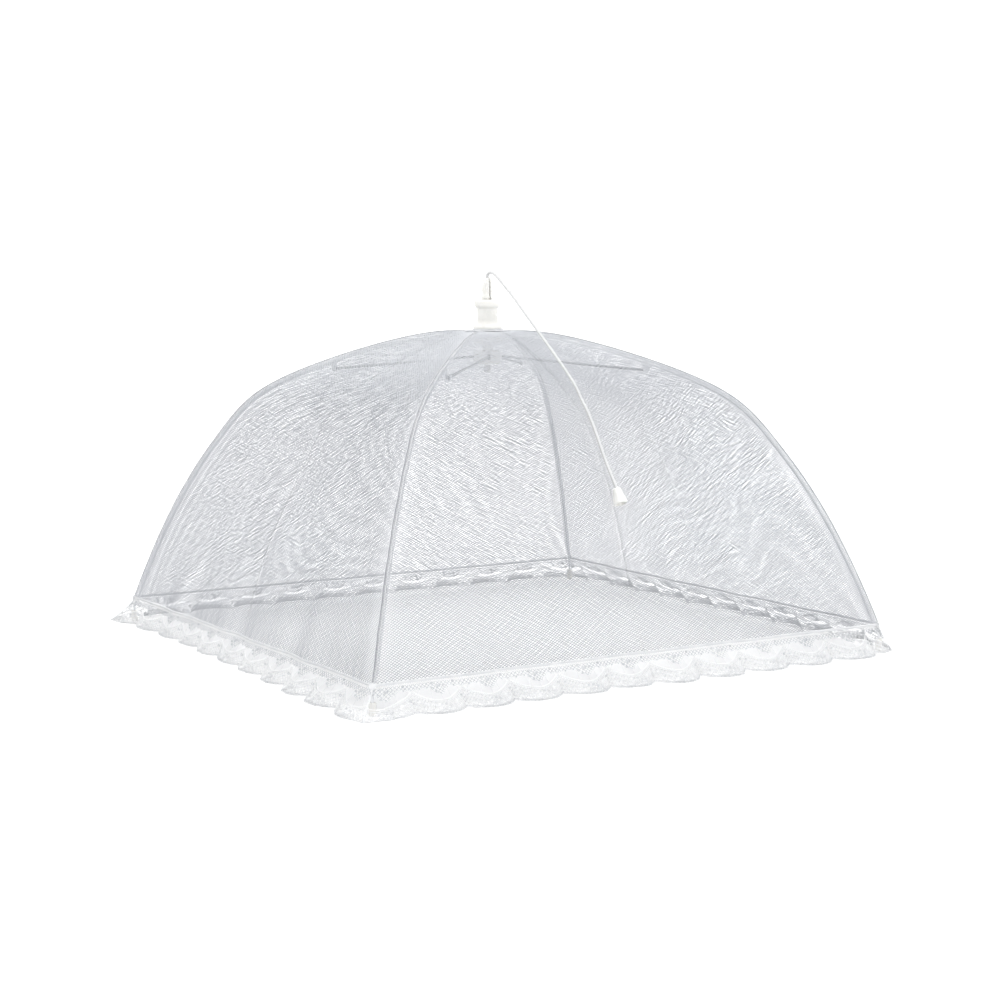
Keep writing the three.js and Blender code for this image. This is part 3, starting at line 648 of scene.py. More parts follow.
def net_half(side, hand):
    """Slanted yarns of flat diamond meshes, both ways, on one side of the panel's middle."""
    so = Soup(tone=0.0)
    t0 = float(np.interp(CROWN_HOLE, H_ALL, LAY))
    t1 = LAY_LEN - 0.4
    tt = np.linspace(t0, t1, 1400)
    hh = np.interp(tt, LAY, H_ALL)
    k = side * 2.2
    rng = np.random.default_rng(40 + 2 * side + (hand > 0))

    stray = rng.uniform([-1, 9, 0, 15, 0], [1, 15, 6.28, 27, 6.28], (2, 400, 5))

    def wander(k, t):
        """How far the edge between two yarns strays."""
        u, w1, p1, w2, p2 = k
        return 0.5 * u + np.sin(2 * math.pi * t / w1 + p1) + np.sin(2 * math.pi * t / w2 + p2)

    def lay(x, t, way, i):
        h = np.interp(t, LAY, H_ALL)
        n = np.clip(np.abs(x) / h, 0, 1)
        keep = (1 - n * n)
        fade = smooth01((t - t0) / 40) * smooth01((t1 - t) / 25)
        dx = 1.6 * np.sin(2 * math.pi * t / 170 + k) * np.cos(2 * math.pi * x / 210) * keep * fade
        dt = 1.4 * np.sin(2 * math.pi * x / 140 + k + 1) * keep * fade
        # the yarns' distances vary, least near the hem of the front and left panels; neighbours stray against each other
        loose = 0.12 if side in (1, 2) else 0.05 + 0.035 * smooth01((t1 - 70 - t) / 120)
        dx = dx + loose * STEP * (wander(stray[way, i], t) - wander(stray[way, i + 1], t)) * smooth01(6 * (1 - n))
        dt = dt + 0.12 * np.sin(2 * math.pi * t / 23 + rng.uniform(0, 6.28)) * keep * fade
        p, nn, _ = panel(side, x + dx, t + dt)
        so.tube(p, nn, 1.0, section=YARN)

    for i in range(0, int((LEAN * t1 + HALF) / STEP) + 2):
        # outward as it goes down
        c = -i * STEP
        a = max(t0, -c / LEAN)
        inside = (tt >= a) & (c + LEAN * tt <= hh)
        if inside.sum() > 1:
            b = tt[inside][-1]
            m = max(2, int(math.ceil((b - a) / 2.1)) + 1)
            t = np.linspace(a, b, m)
            lay(hand * np.clip(c + LEAN * t, 0, np.interp(t, LAY, H_ALL)), t, 0, i)
        # inward as it goes down
        c = i * STEP
        inside = (c - LEAN * tt <= hh) & (c - LEAN * tt >= 0)
        if inside.sum() > 1:
            a, b = tt[inside][0], min(c / LEAN, t1)
            if b - a > 0.5:
                m = max(2, int(math.ceil((b - a) / 2.1)) + 1)
                t = np.linspace(a, b, m)
                lay(hand * np.clip(c - LEAN * t, 0, np.interp(t, LAY, H_ALL)), t, 1, i)
    return so


FLAT_HALF = float(np.trapezoid(H_ALL, LAY)) if hasattr(np, "trapezoid") else float(np.trapz(H_ALL, LAY))
nets = []
for si, (side, angle, ribs) in enumerate(SIDES):
    for hand, rib in ((-1, ribs[0]), (1, ribs[1])):
        so = net_half(si, hand)
        me = so.mesh(f"net_{side}_{'a' if hand < 0 else 'b'}")
        # painted light: the net's colour is whiter towards the crown and along the ribs
        at = np.concatenate(so.v)
        painted_light_tone = np.maximum(smooth01((at[:, 2] - 170) / 58), 0.75 * smooth01((18 - (np.abs(at[:, 1]) - np.abs(at[:, 0]))) / 14))
        # painted light: the right panel's net is whitened throughout, the rear one's a little
        painted_light_tone = np.maximum(painted_light_tone, (0.0, 0.75, 0.2, 0.0)[si])
        me.attributes["thread"].data.foreach_set("value", painted_light_tone.astype(np.float32))
        me.transform(Matrix.Rotation(angle, 4, "Z"))
        ob = piece(me.name, me, NET)
        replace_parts(ob, f"net_panel_{side}")
        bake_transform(ob)
        weight(width_at(local_of(ob, angle)))
        nets.append(ob)

# ------------------------------------------------------------------ hem tape and its stitches
TAPE_Z = 19.9


def hem_line(side, x, out=0.0, z=TAPE_Z):
    x = np.asarray(x, float)
    y = HALF + 0.1 + hem_wave(side, x) + out - 1.5 * (1 - np.clip(np.abs(x) / HALF, 0, 1) ** 2)
    return np.stack([x, -y, z + 0 * x], -1)


for si, (side, angle, ribs) in enumerate(SIDES):
    for hand, rib in ((-1, ribs[0]), (1, ribs[1])):
        so = Soup()
        x = hand * np.linspace(0, HALF - 0.2, 110)
        a = np.arange(12) * 2 * math.pi / 12
        sec = np.stack([np.sign(np.cos(a)) * np.abs(np.cos(a)) ** 0.6 * 0.8, np.sign(np.sin(a)) * np.abs(np.sin(a)) ** 0.6 * 0.45], 1)
        so.tube(hem_line(si, x), [0, -1, 0], 1.0, section=sec)
        # overlock stitches: a zigzag over the tape's outer face and round its lower edge
        m = int(HALF / 1.25)
        xs = hand * np.linspace(0.3, HALF - 0.6, 2 * m + 1)
        zz = np.where(np.arange(2 * m + 1) % 2 == 0, 0.7, -0.7)
        p = hem_line(si, xs, 0.5, TAPE_Z)
        p[:, 2] += zz
        so.tube(p, [0, -1, 0], 0.2, sides=5)
        p = hem_line(si, hand * np.linspace(0.3, HALF - 0.5, 110), 0.32, TAPE_Z + 0.76)
        so.tube(p, [0, -1, 0], 0.24, sides=6)
        p = hem_line(si, hand * np.linspace(0.3, HALF - 0.5, 110), 0.32, TAPE_Z - 0.76)
        so.tube(p, [0, -1, 0], 0.24, sides=6)
        name = f"hem_{side}_{'a' if hand < 0 else 'b'}"
        me = so.mesh(name)
        me.transform(Matrix.Rotation(angle, 4, "Z"))
        ob = piece(name, me, TAPE)
        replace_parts(ob, "hem_tape")
        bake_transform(ob)
        weight(width_at(local_of(ob, angle)))

# ------------------------------------------------------------------ lace
LACE_NOTCH, LACE_LOBE, LACE_END = 21.5, 29.0, 24.0     # depth of the strip at a notch, at a lobe's tip and at a corner
TILE = 39.0
# where the arcs meet along each side, seen from outside, left to right
CUSPS = {
    "front": [-225.5, -186.8, -150.1, -112.3, -73.4, -34.0, 2.5, 41.6, 81.3, 121.4, 160.6, 198.9, 237.0],
    "right": [-234.0, -195.5, -156.0, -117.5, -78.0, -38.5, 0.5, 39.0, 78.5, 117.0, 156.5, 195.0, 234.0],
    "rear": [-227.0, -189.0, -150.5, -111.0, -72.5, -33.0, 6.0, 45.5, 84.0, 123.5, 162.0, 201.0, 240.0],
    "left": [-234.0, -193.0, -152.0, -111.0, -72.0, -30.0, 13.5, 55.0, 96.0, 138.0, 181.0, 222.0],
}
# how far the strip spreads outward on the table: place along the side, at the lobes, at the notches
SPREAD = {
    "front": ([-215, -168, -87, -9, 68, 145, 215], [20, 21, 19, 20, 24, 23, 20], [10, 10, 8, 7, 8, 10, 9]),
    "right": ([-215, -120, -20, 90, 215], [20, 17, 20, 18, 20], [8, 6, 9, 7, 8]),
    "rear": ([-215, -130, 0, 120, 215], [20, 22, 20, 22, 18], [9, 8, 10, 8, 9]),
    "left": ([-215, -150, -108, -26, 56, 141, 215], [14, 9, 9, 11, 14, 20, 22], [8, 3, 2, 3, 5, 8, 11]),
}
END_SPREAD = {"front": (15.0, 7.0), "right": (7.0, 12.0), "rear": (12.0, 14.5), "left": (14.5, 15.0)}
SIDE_NAMES = [row[0] for row in SIDES]


def lobe_weight(side, s):
    """0 where two arcs meet, 1 in the middle of the arc."""
    c = np.asarray(CUSPS[SIDE_NAMES[side]])
    k = np.clip(np.searchsorted(c, s, side="right") - 1, 0, len(c) - 2)
    u = (s - c[k]) / (c[k + 1] - c[k])
    return 1 - np.abs(2 * u - 1) ** 2.2


def lace_place(side, s, v, lift=0.0):
    """A point of the lace: s along the side in millimetres, v down the strip from the hem."""
    s, v = np.broadcast_arrays(np.asarray(s, float), np.asarray(v, float))
    name = SIDE_NAMES[side]
    at, lobes, notches = SPREAD[name]
    n = np.clip(s / HALF, -1, 1)
    w = lobe_weight(side, s)
    k = side * 2.1
    slow = 0.5 * np.sin(2 * math.pi * s / 61 + k) + 0.5 * np.sin(2 * math.pi * s / 143 + 2.3 * k)
    spread = np.interp(s, at, notches) + (np.interp(s, at, lobes) - np.interp(s, at, notches)) * w * (0.92 + 0.14 * slow)
    depth = LACE_NOTCH + (LACE_LOBE - LACE_NOTCH) * w
    end = END_SPREAD[name]
    hang = smooth01((np.abs(n) - 0.90) / 0.10)
    spread = spread * (1 - hang) + np.where(s < 0, end[0], end[1]) * hang
    depth = depth * (1 - hang) + LACE_END * hang
    q = np.clip(v / depth, -0.1, 1.06)
    qq = np.maximum(q, 0)
    free = 1 - hang
    # small folds of the loose strip, stronger towards its edge
    fold = 0.55 * np.sin(2 * math.pi * s / 17.3 + 1.7 * k + 0.8 * np.sin(s / 19)) + 0.35 * np.sin(2 * math.pi * s / 7.9 + k)
    out = spread * qq ** 1.25 + fold * qq ** 1.4 * (1.1 - 0.7 * qq) * free
    base = HALF + 0.25 + hem_wave(side, s) * (1 - np.minimum(qq, 1) * 0.6) - 1.5 * (1 - n * n) * (1 - np.minimum(qq, 1))
    z = 18.9 - 18.3 * q * (1.06 - 0.06 * qq) + 0.45 * fold * qq * (1 - np.minimum(qq, 1)) * free
    y = base + out + lift * 0.72
    z = np.maximum(z + lift * 0.69, 0.42)
    # along the side the strip widens with the square, so that the corners meet
    x = n * (HALF + 0.25 + out * np.abs(n) ** 10)
    return np.stack([x, -y, z], -1), unit(np.array([0, -0.72, 0.69]))


def xi(x):
    return (np.asarray(x, float) - TILE / 2) / (TILE / 2)


def arc(x):
    """The two cords under the windows: deepest in the middle of a repeat, meeting their neighbours in a point."""
    return 6.2 + 11.8 * (1 - np.abs(xi(x)) ** 1.75)


def edge(x):
    return LACE_NOTCH - 0.5 + (LACE_LOBE - LACE_NOTCH) * (1 - np.abs(xi(x)) ** 2.2)


def heading_end(x, top=6.2):
    """Lower end of the net under the hem: a fan hangs from it in the middle, with a window on each side."""
    u = np.asarray(x, float) / TILE
    fan = smooth01(1.15 - np.abs(u - 0.54) / 0.19)
    return np.minimum(top + (12.6 - top) * fan + 0.6 * np.cos(2 * math.pi * u * 7), arc(x) - 0.5)


def lace_tile(top):
    """Polylines of one repeat as (x, v, lift, radius, sides, tone, closed), x from 0 to TILE; its windows begin at top."""
    rng = np.random.default_rng(5)
    out = []
    L = TILE

    def line(x, v, lift=0.0, r=0.2, sides=3, tone=0.5, closed=False):
        x, v = np.asarray(x, float), np.asarray(v, float)
        out.append((x, v, np.broadcast_to(np.asarray(lift, float), x.shape), r, sides, tone, closed))

    def net(top, bottom, pitch, r, tone, lift=0.0):
        """Diagonal threads both ways between two curves."""
        f = np.linspace(0, 34, 171)
        for i in range(-int(34 / pitch) - 1, int((L + 34) / pitch) + 1):
            for d in (1, -1):
                x = i * pitch + d * f
                xc = np.clip(x, 0, L)
                ok = (x >= 0) & (x <= L) & (f >= top(xc)) & (f <= bottom(xc))
                idx = np.flatnonzero(ok)
                if len(idx) < 4:
                    continue
                for run in np.split(idx, np.flatnonzero(np.diff(idx) > 1) + 1):
                    if len(run) < 4:
                        continue
                    m = max(2, int(math.ceil((f[run[-1]] - f[run[0]]) / 2.1)) + 1)
                    g = np.linspace(f[run[0]], f[run[-1]], m)
                    line(i * pitch + d * g, g, lift, r, 3, tone)

    xs = np.linspace(0, L, 41)
    # heading under the hem: a cord and a close zigzag
    line(xs, 1.7 + 0 * xs, 0.1, 0.2, 4, 0.8)
    z = np.linspace(0, L, 45)
    line(z, np.where(np.arange(45) % 2 == 0, 0.2, 1.7), 0.12, 0.18, 3, 0.6)
    # net under the heading, and its scalloped lower thread
    net(lambda x: 1.6 + 0 * x, lambda x: heading_end(x, top), L / 13, 0.23, 0.0)
    # little knots in it, spread unevenly
    dot = np.linspace(0, 2 * math.pi, 6, endpoint=False)
    for _ in range(16):
        cx, cv = rng.uniform(1.5, L - 1.5), rng.uniform(2.6, 12.5)
        if cv > heading_end(cx, top) - 0.9:
            continue
        size = rng.uniform(0.55, 0.95)
        line(cx + size * np.cos(dot), cv + 0.9 * size * np.sin(dot), 0.2, 0.34, 4, rng.uniform(0.0, 0.25), True)
    xf = np.linspace(0, L, 61)
    line(xf, heading_end(xf, top), 0.1, 0.19, 3, 0.45)
    # veins of the fan
    for u0, u1 in ((0.44, 0.37), (0.49, 0.46), (0.55, 0.58), (0.60, 0.67)):
        g = np.linspace(0, 1, 8)
        xx = (u0 + (u1 - u0) * (1 - g)) * L
        line(xx, 3.0 + g * (heading_end(u0 * L, top) - 3.2), 0.12, 0.2, 3, 0.7)
    # bars that hold the arc through the windows
    for u0, u1 in ((0.13, 0.09), (0.36, 0.34), (0.53, 0.53), (0.69, 0.71), (0.89, 0.93)):
        line([u0 * L, (u0 + u1) / 2 * L, u1 * L], [heading_end(u0 * L, top), (heading_end(u0 * L, top) + arc(u1 * L)) / 2, arc(u1 * L)], 0.04, 0.13, 3, 0.6)
    # the arc: two bright cords whipped together
    line(xs, arc(xs), 0.3, 0.25, 5, 1.0)
    line(xs, arc(xs) + 1.7, 0.3, 0.21, 4, 0.7)
    z = np.linspace(0.1, L - 0.1, 57)
    line(z, arc(z) + np.where(np.arange(57) % 2 == 0, 0.2, 1.5), 0.12, 0.13, 3, 0.5)
    # soft ground between the arc and the scallop
    net(lambda x: arc(x) + 1.7, lambda x: edge(x) - 0.3, L / 13, 0.2, 0.55)
    for _ in range(26):
        cx = rng.uniform(1.5, L - 1.5)
        lam = rng.uniform(0.15, 0.95)
        cv = float(arc(cx)) + 1.9 + lam * float(edge(cx) - arc(cx) - 2.6)
        size = rng.uniform(0.5, 1.0)
        line(cx + size * np.cos(dot), cv + 0.9 * size * np.sin(dot), 0.22, 0.34, 4, rng.uniform(0.1, 0.9), True)
    for lam in (0.34, 0.68):
        upper = arc(xs) + 1.7
        line(xs, upper + lam * (edge(xs) - upper), 0.08, 0.2, 3, 0.8)
    # small closed rings along the scallop, close together in the lobe's middle
    ang = np.linspace(0, 2 * math.pi, 8, endpoint=False)
    rings = [(u, 1.9, 1.05, 0.3) for u in np.linspace(0.06, 0.94, 14)] + [(u, 4.4, 1.0, 0.28) for u in np.linspace(0.24, 0.80, 8)]
    rings += [(u, 6.7, 0.95, 0.25) for u in np.linspace(0.36, 0.70, 5)]
    for u, up, size, r in rings:
        c = u * L + rng.uniform(-0.3, 0.3)
        v = float(edge(c)) - up + rng.uniform(-0.25, 0.25)
        size = size * rng.uniform(0.85, 1.15)
        mid = 1 - abs(u - 0.56) / 0.5
        line(c + size * np.cos(ang), v + size * np.sin(ang), 0.18 + 0.25 * np.sin(2 * ang + rng.uniform(0, 6)), r, 3, 0.7 - 0.3 * max(0.0, mid), True)
    # edge cord, whipped, and a fringe of picots of uneven size
    xe = np.linspace(0, L, 81)
    line(xe, edge(xe) - 0.3 + 0.16 * np.cos(2 * math.pi * np.arange(81) / 2), 0.1, 0.22, 4, 0.2)
    num = 15
    for q in range(num):
        c = L * (q + 0.5) / num
        size = rng.uniform(1.0, 2.2)
        th = np.linspace(-0.2, math.pi + 0.2, 7)
        x = c - size * 0.95 * np.cos(th) + rng.uniform(-0.5, 0.5)
        line(np.clip(x, 0, L), edge(np.clip(x, 0, L)) - 0.1 + size * rng.uniform(0.7, 1.15) * np.sin(th), 0.1 + 0.2 * np.sin(3 * th + q), 0.17, 3, 0.35)
    return out


TILE_LINES = [lace_tile(top) for top in (6.2, 9.8, 9.8, 6.2)]     # the open windows of the front and left strips are bigger


def lace_half(side, hand):
    so = Soup(tone=0.5)
    c = CUSPS[SIDE_NAMES[side]]
    for a, b in zip(c[:-1], c[1:]):
        # repeats are cut where the side's middle or its corner crosses them
        lo, hi = (max(a, -HALF), min(b, 0.0)) if hand < 0 else (max(a, 0.0), min(b, HALF))
        if hi - lo < 0.5:
            continue
        whole = lo <= a and hi >= b
        for x, v, lift, r, sides, tone, closed in TILE_LINES[side]:
            s = a + x / TILE * (b - a)
            # painted shade: the lace strips of the right and rear sides are darker, their tones cut to about a third
            so.tone = tone * (0.35 if side in (1, 2) else 1.0)
            if whole or (s.min() >= lo and s.max() <= hi):
                p, nrm = lace_place(side, s, v, lift)
                so.tube(p, nrm, r, sides=sides, phase=math.pi / 6 if sides == 3 else math.pi / 4, closed=closed)
                continue
            if closed:
                continue
            inside = (s >= lo) & (s <= hi)
            idx = np.flatnonzero(inside)
            if len(idx) < 1:
                continue
            for run in np.split(idx, np.flatnonzero(np.diff(idx) > 1) + 1):
                ss, vv, ll = list(s[run]), list(v[run]), list(lift[run])
                for end, nxt, put in ((run[0], run[0] - 1, 0), (run[-1], run[-1] + 1, None)):
                    if 0 <= nxt < len(s) and not inside[nxt]:
                        lim = lo if s[nxt] < lo else hi
                        f = (lim - s[end]) / (s[nxt] - s[end])
                        new = (lim, v[end] + f * (v[nxt] - v[end]), lift[end] + f * (lift[nxt] - lift[end]))
                        if abs(f) > 1e-3:
                            if put == 0:
                                ss.insert(0, new[0]); vv.insert(0, new[1]); ll.insert(0, new[2])
                            else:
                                ss.append(new[0]); vv.append(new[1]); ll.append(new[2])
                if len(ss) < 2:
                    continue
                p, nrm = lace_place(side, np.array(ss), np.array(vv), np.array(ll))
                so.tube(p, nrm, r, sides=sides, phase=math.pi / 6 if sides == 3 else math.pi / 4)
    return so


laces = []
for si, (side, angle, ribs) in enumerate(SIDES):
    for hand, rib in ((-1, ribs[0]), (1, ribs[1])):
        so = lace_half(si, hand)
        name = f"lace_{side}_{'a' if hand < 0 else 'b'}"
        me = so.mesh(name)
        me.transform(Matrix.Rotation(angle, 4, "Z"))
        ob = piece(name, me, LACE)
        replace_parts(ob, f"lace_{side}")
        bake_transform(ob)
        weight(width_at(local_of(ob, angle)))
        laces.append(ob)

# ------------------------------------------------------------------ ribs, sleeves and seams
PIVOT_R, Z_RIB_PIVOT, Z_RUN_PIVOT = 8.6, 235.5, 221.0
EYE_R, PIN_HOLE, PIN_R = 2.1, 1.1, 0.8
STR_OFF, CLIP_X, CLIP_DROP = 3.2, 127.0, 5.4


def rib_line(s):
    r, z, n = dome(s)
    return np.stack([r - n[..., 0] * RIB_DEPTH, z - n[..., 1] * RIB_DEPTH], -1)


S0 = float(arc_at(45))
path = [[PIVOT_R + 1.2, Z_RIB_PIVOT], [20, 236.2], [32, 237.0]]
path += [list(rib_line(S0 + (ARC_LEN - 3 - S0) * i / 26)) for i in range(27)]
path += [[FOOT_R - 1.0, 14.2], [FOOT_R - 0.1, 10.4], [FOOT_R, 6], [FOOT_R, 2.6]]
RIB = evenly(catmull([[x, 0, z] for x, z in path], 10), 2.2)

zs = [rib_line(s) for s in np.arange(60, 220, 0.25)]
z_clip = min(zs, key=lambda q: abs(q[0] - CLIP_X))[1]
_, _, n_clip = dome(arc_at(CLIP_X))
SLOPE = math.atan2(n_clip[0], n_clip[1])
PIV = np.array([CLIP_X - math.sin(SLOPE) * CLIP_DROP, z_clip - math.cos(SLOPE) * CLIP_DROP])


def eye(so, x, y, z, half=1.0):
    """A pierced flat eye at the end of a wire, its hole along Y."""
    prof = rounded([[PIN_HOLE, -half], [EYE_R, -half], [EYE_R, half], [PIN_HOLE, half]], 0.28, 3)
    m = np.eye(4)
    m[:3, :3] = np.array([[1, 0, 0], [0, 0, 1], [0, -1, 0]], float)
    m[:3, 3] = (x, y, z)
    so.lathe(prof, 40, m)


def finish_part(name, so, mat, body, node, angle, sharp=35):
    me = so.mesh(name) if isinstance(so, Soup) else so
    me.transform(Matrix.Rotation(angle, 4, "Z"))
    ob = piece(name, me, mat, sharp=sharp)
    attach(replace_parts(ob, node) if node else ob, body)
    return ob


S_SL0, S_SL1 = float(arc_at(137)), ARC_LEN - 8
for i, a in enumerate(CORNER):
    n = i + 1
    # rib wire
    so = Soup()
    so.tube(RIB, [0, 1, 0], 0.86, sides=16)
    eye(so, PIVOT_R, 0, Z_RIB_PIVOT)
    finish_part(f"rib_wire_{n}", so, STEEL, f"rib_{n}", f"rib_{n}", a, 40)

    # net channel: a folded band sewn along the seam, round the wire and on to the panel beside it
    so = Soup()

    def channel(q, w, side=i, turn=SIDES[i][1] - a):
        """A point of the band: q along the rib's curve, w from 0 at the seam to 1 at the edge on the panel."""
        r, z, nr = dome(q)
        up = np.stack([nr[:, 0], 0 * q, nr[:, 1]], 1)
        ridge = np.stack([r, 0 * q, z], 1)
        wire = ridge - up * RIB_DEPTH
        lat = np.array([0, 1.0, 0])
        h = np.interp(q, ARC, H_ALL)
        on, nn, _ = panel(side, -(h - 3.6), np.interp(q, ARC, LAY), -0.45)
        on = on @ turn_z(turn).T
        knots = [ridge - up * 0.35, wire - lat * 1.5 + up * 0.5, wire - lat * 1.1 - up * 1.25, wire + lat * 0.5 - up * 1.75,
                 (wire + lat * 0.5 - up * 1.75) * 0.45 + on * 0.55 - up * 0.25, on]
        knots = np.stack(knots, 1)
        at = np.array([0, 0.24, 0.42, 0.60, 0.80, 1.0])
        k = np.clip(np.searchsorted(at, w, side="right") - 1, 0, 4)
        f = ((w - at[k]) / (at[k + 1] - at[k]))[:, None]
        rows = np.arange(len(q))
        return knots[rows, k] * (1 - f) + knots[rows, k + 1] * f, up

    reach = 8.0
    first, last = S_SL0, S_SL1 + 1.5
    for q0 in np.arange(first - reach, last, 2.9):
        for d in (1, -1):
            w = np.linspace(0, 1, 9)
            q = q0 + (w if d > 0 else 1 - w) * reach
            ok = (q >= first) & (q <= last)
            if ok.sum() > 1:
                pt, up = channel(q[ok], w[ok])
                so.tube(pt, up, 0.8, section=YARN)
    q = np.arange(first, last, 2.2)
    pt, up = channel(q, np.full(len(q), 1.0))
    so.tube(pt, up, 0.2, sides=4)
    q = np.arange(first, last, 1.3)
    pt, up = channel(q, 1.0 - 0.14 * (np.arange(len(q)) % 2))
    so.tube(pt + up * 0.2, up, 0.14, sides=3)
    finish_part(f"sleeve_net_{n}", so, SLEEVE, f"rib_{n}", f"rib_sleeve_{n}", a)

    # seam of the two panels along the rib: a covering thread down its middle, dark as painted shade of the gap between
    # the panels, held by a narrow open zigzag
    so = Soup(tone=1.0)
    s = np.arange(arc_at(12), ARC_LEN - 0.6, 1.6)
    r, z, nr = dome(s)
    base = np.stack([r + nr[:, 0] * 0.3, 0.12 * np.sin(s / 6.1) + 0.08 * np.sin(s / 2.3), z + nr[:, 1] * 0.3], 1)
    up = np.stack([nr[:, 0], 0 * s, nr[:, 1]], 1)
    so.tube(base, up, 0.42, sides=6)
    so.tone = 0.0
    half = 0.75 + 0.35 * smooth01((s - 90) / 80)
    for sign in (-1, 1):
        pt = base.copy()
        pt[:, 1] += sign * half
        so.tube(pt - up * (0.3 + 0.4 * half[:, None]), up, 0.17, sides=4)
    s2 = np.arange(arc_at(12), ARC_LEN - 0.6, 0.8)
    r, z, nr = dome(s2)
    half2 = 0.75 + 0.35 * smooth01((s2 - 90) / 80)
    side_of = np.where(np.arange(len(s2)) % 2 == 0, 1.0, -1.0) * (1 + 0.1 * np.sin(s2 * 1.7))
    pt = np.stack([r + nr[:, 0] * 0.35, side_of * half2, z + nr[:, 1] * 0.35], 1)
    so.tube(pt, np.stack([nr[:, 0], 0 * s2, nr[:, 1]], 1), 0.17, sides=4)
    finish_part(f"rib_seam_{n}", so, SEAM, f"rib_{n}", None, a)

    # lace corner: the two strips' ends sewn together, with a short tail of thread
    so = Soup()
    v = np.linspace(0, LACE_END, 26)
    pt, _ = lace_place(i, np.full(26, -HALF), v)
    line = np.stack([np.hypot(pt[:, 0], pt[:, 1]) + 0.15, 0.35 * np.sin(v / 3.1 + i), np.maximum(pt[:, 2], 0.6)], 1)
    so.tube(line, [1, 0, 0], 0.36, sides=6)
    fine = evenly(line, 0.62)
    zz = np.where(np.arange(len(fine)) % 2 == 0, 1.0, -1.0)
    q = fine.copy()
    q[:, 1] += zz * (1.05 + 0.2 * np.sin(np.arange(len(fine)) * 0.7))
    q[:, 0] += 0.25
    so.tube(q, [1, 0, 0], 0.19, sides=4)
    end, far = line[-1], (3.4, 4.6, 2.6, 3.8)[i]
    tail = np.array([end, end + [0.9, 0.4, 0.3], end + [0.55 * far, 1.1, 0.1], end + [0.8 * far, 1.9, 0.25], end + [far, 1.6, 0.15]])
    tail[:, 2] = np.maximum(tail[:, 2], 0.5)
    so.tube(catmull(tail, 5), [0, 0, 1], 0.22, sides=5)
    tail = np.array([end, end + [0.6, -0.8, 0.2], end + [0.4 * far, -1.7, 0.1], end + [0.7 * far, -1.9, 0.3]])
    tail[:, 2] = np.maximum(tail[:, 2], 0.5)
    so.tube(catmull(tail, 5), [0, 0, 1], 0.2, sides=5)
    # bar tack that fixes the hem to the channel
    for w in np.linspace(-1.4, 1.4, 6):
        pp = np.array([[HALF * R2 + 0.45, -2.2, TAPE_Z + w], [HALF * R2 + 1.2, 0, TAPE_Z + w], [HALF * R2 + 0.45, 2.2, TAPE_Z + w]])
        so.tube(catmull(pp, 4), [1, 0, 0], 0.26, sides=5)
    finish_part(f"corner_seam_{n}", so, SEAM, f"rib_{n}", None, a)

    # foot cap
    so = Soup()
    prof = rounded([[0, 0], [1.9, 0], [2.6, 0.8], [2.6, 8.4], [2.2, 9], [1.45, 9], [1.45, 2.2], [0, 2.2]], 0.35, 3)
    m = np.eye(4)
    m[0, 3] = FOOT_R
    so.lathe(prof, 48, m)
    finish_part(f"foot_tip_{n}", so, PLASTIC, f"rib_{n}", f"foot_cap_{n}", a)

    # tin clip: a barrel crimped on the wire, and its tab
    so = Soup()
    m = np.eye(4)
    c, sn = math.cos(SLOPE), math.sin(SLOPE)
    # local Z to the wire's direction (+X turned down by the slope)
    turn = np.array([[0, 0, 1], [0, 1, 0], [-1, 0, 0]], float)
    tilt = np.array([[c, 0, sn], [0, 1, 0], [-sn, 0, c]], float)
    m[:3, :3] = tilt @ turn
    m[:3, 3] = (CLIP_X, 0, z_clip)
    prof = rounded([[1.3, -3.5], [1.62, -3.5], [1.75, -3.1], [1.75, -1.2], [1.66, -0.9], [1.66, 0.9], [1.75, 1.2], [1.75, 3.1], [1.62, 3.5], [1.3, 3.5]], 0.15, 2)
    so.lathe(prof, 36, m)
    # tab with a round lower end, 1.15 thick
    ang = np.linspace(0, math.pi, 13)
    outline = [[-2.6, -0.9], [-2.6, -(CLIP_DROP - 0.7)]]
    outline += [[-2.6 * math.cos(t), -(CLIP_DROP - 0.7) - 2.5 * math.sin(t)] for t in ang[1:-1]]
    outline += [[2.6, -(CLIP_DROP - 0.7)], [2.6, -0.9]]
    outline = np.array(outline)
    verts = []
    for y, shrink in ((0.6, 0.9), (0.75, 1.0), (1.6, 1.0), (1.75, 0.9)):
        mid2 = outline.mean(0)
        q = mid2 + (outline - mid2) * shrink
        verts.append(np.stack([q[:, 0], np.full(len(q), y), q[:, 1]], 1))
    verts = np.concatenate(verts)
    k = len(outline)
    quads = []
    for lvl in range(3):
        for j in range(k):
            j2 = (j + 1) % k
            quads.append([lvl * k + j, lvl * k + j2, (lvl + 1) * k + j2, (lvl + 1) * k + j])
    verts = verts @ tilt.T + np.array([CLIP_X, 0, z_clip])
    so.add(verts, np.array(quads), np.stack([np.arange(k)[::-1], 3 * k + np.arange(k)]))
    finish_part(f"clip_{n}", so, TIN, f"rib_{n}", f"rib_clip_{n}", a)

    # stretcher wire with an eye at each end, and its rivet
    so = Soup()
    A, B = np.array([PIVOT_R, STR_OFF, Z_RUN_PIVOT]), np.array([PIV[0], STR_OFF, PIV[1]])
    d = unit(B - A)
    long = np.linalg.norm(B - A)
    # the wire is drawn a little flat where it meets each eye
    s = np.concatenate([np.linspace(1.2, 8, 8), np.linspace(12, long - 12, 20), np.linspace(long - 8, long - 1.2, 8)])
    rr = 1.0 + 0.12 * np.exp(-((np.minimum(s, long - s) - 3.5) / 1.6) ** 2)
    so.tube(A + d * s[:, None], [0, 1, 0], rr, sides=16)
    eye(so, *A)
    eye(so, *B)
    finish_part(f"stretcher_wire_{n}", so, BARE, f"stretcher_{n}", f"stretcher_{n}", a)

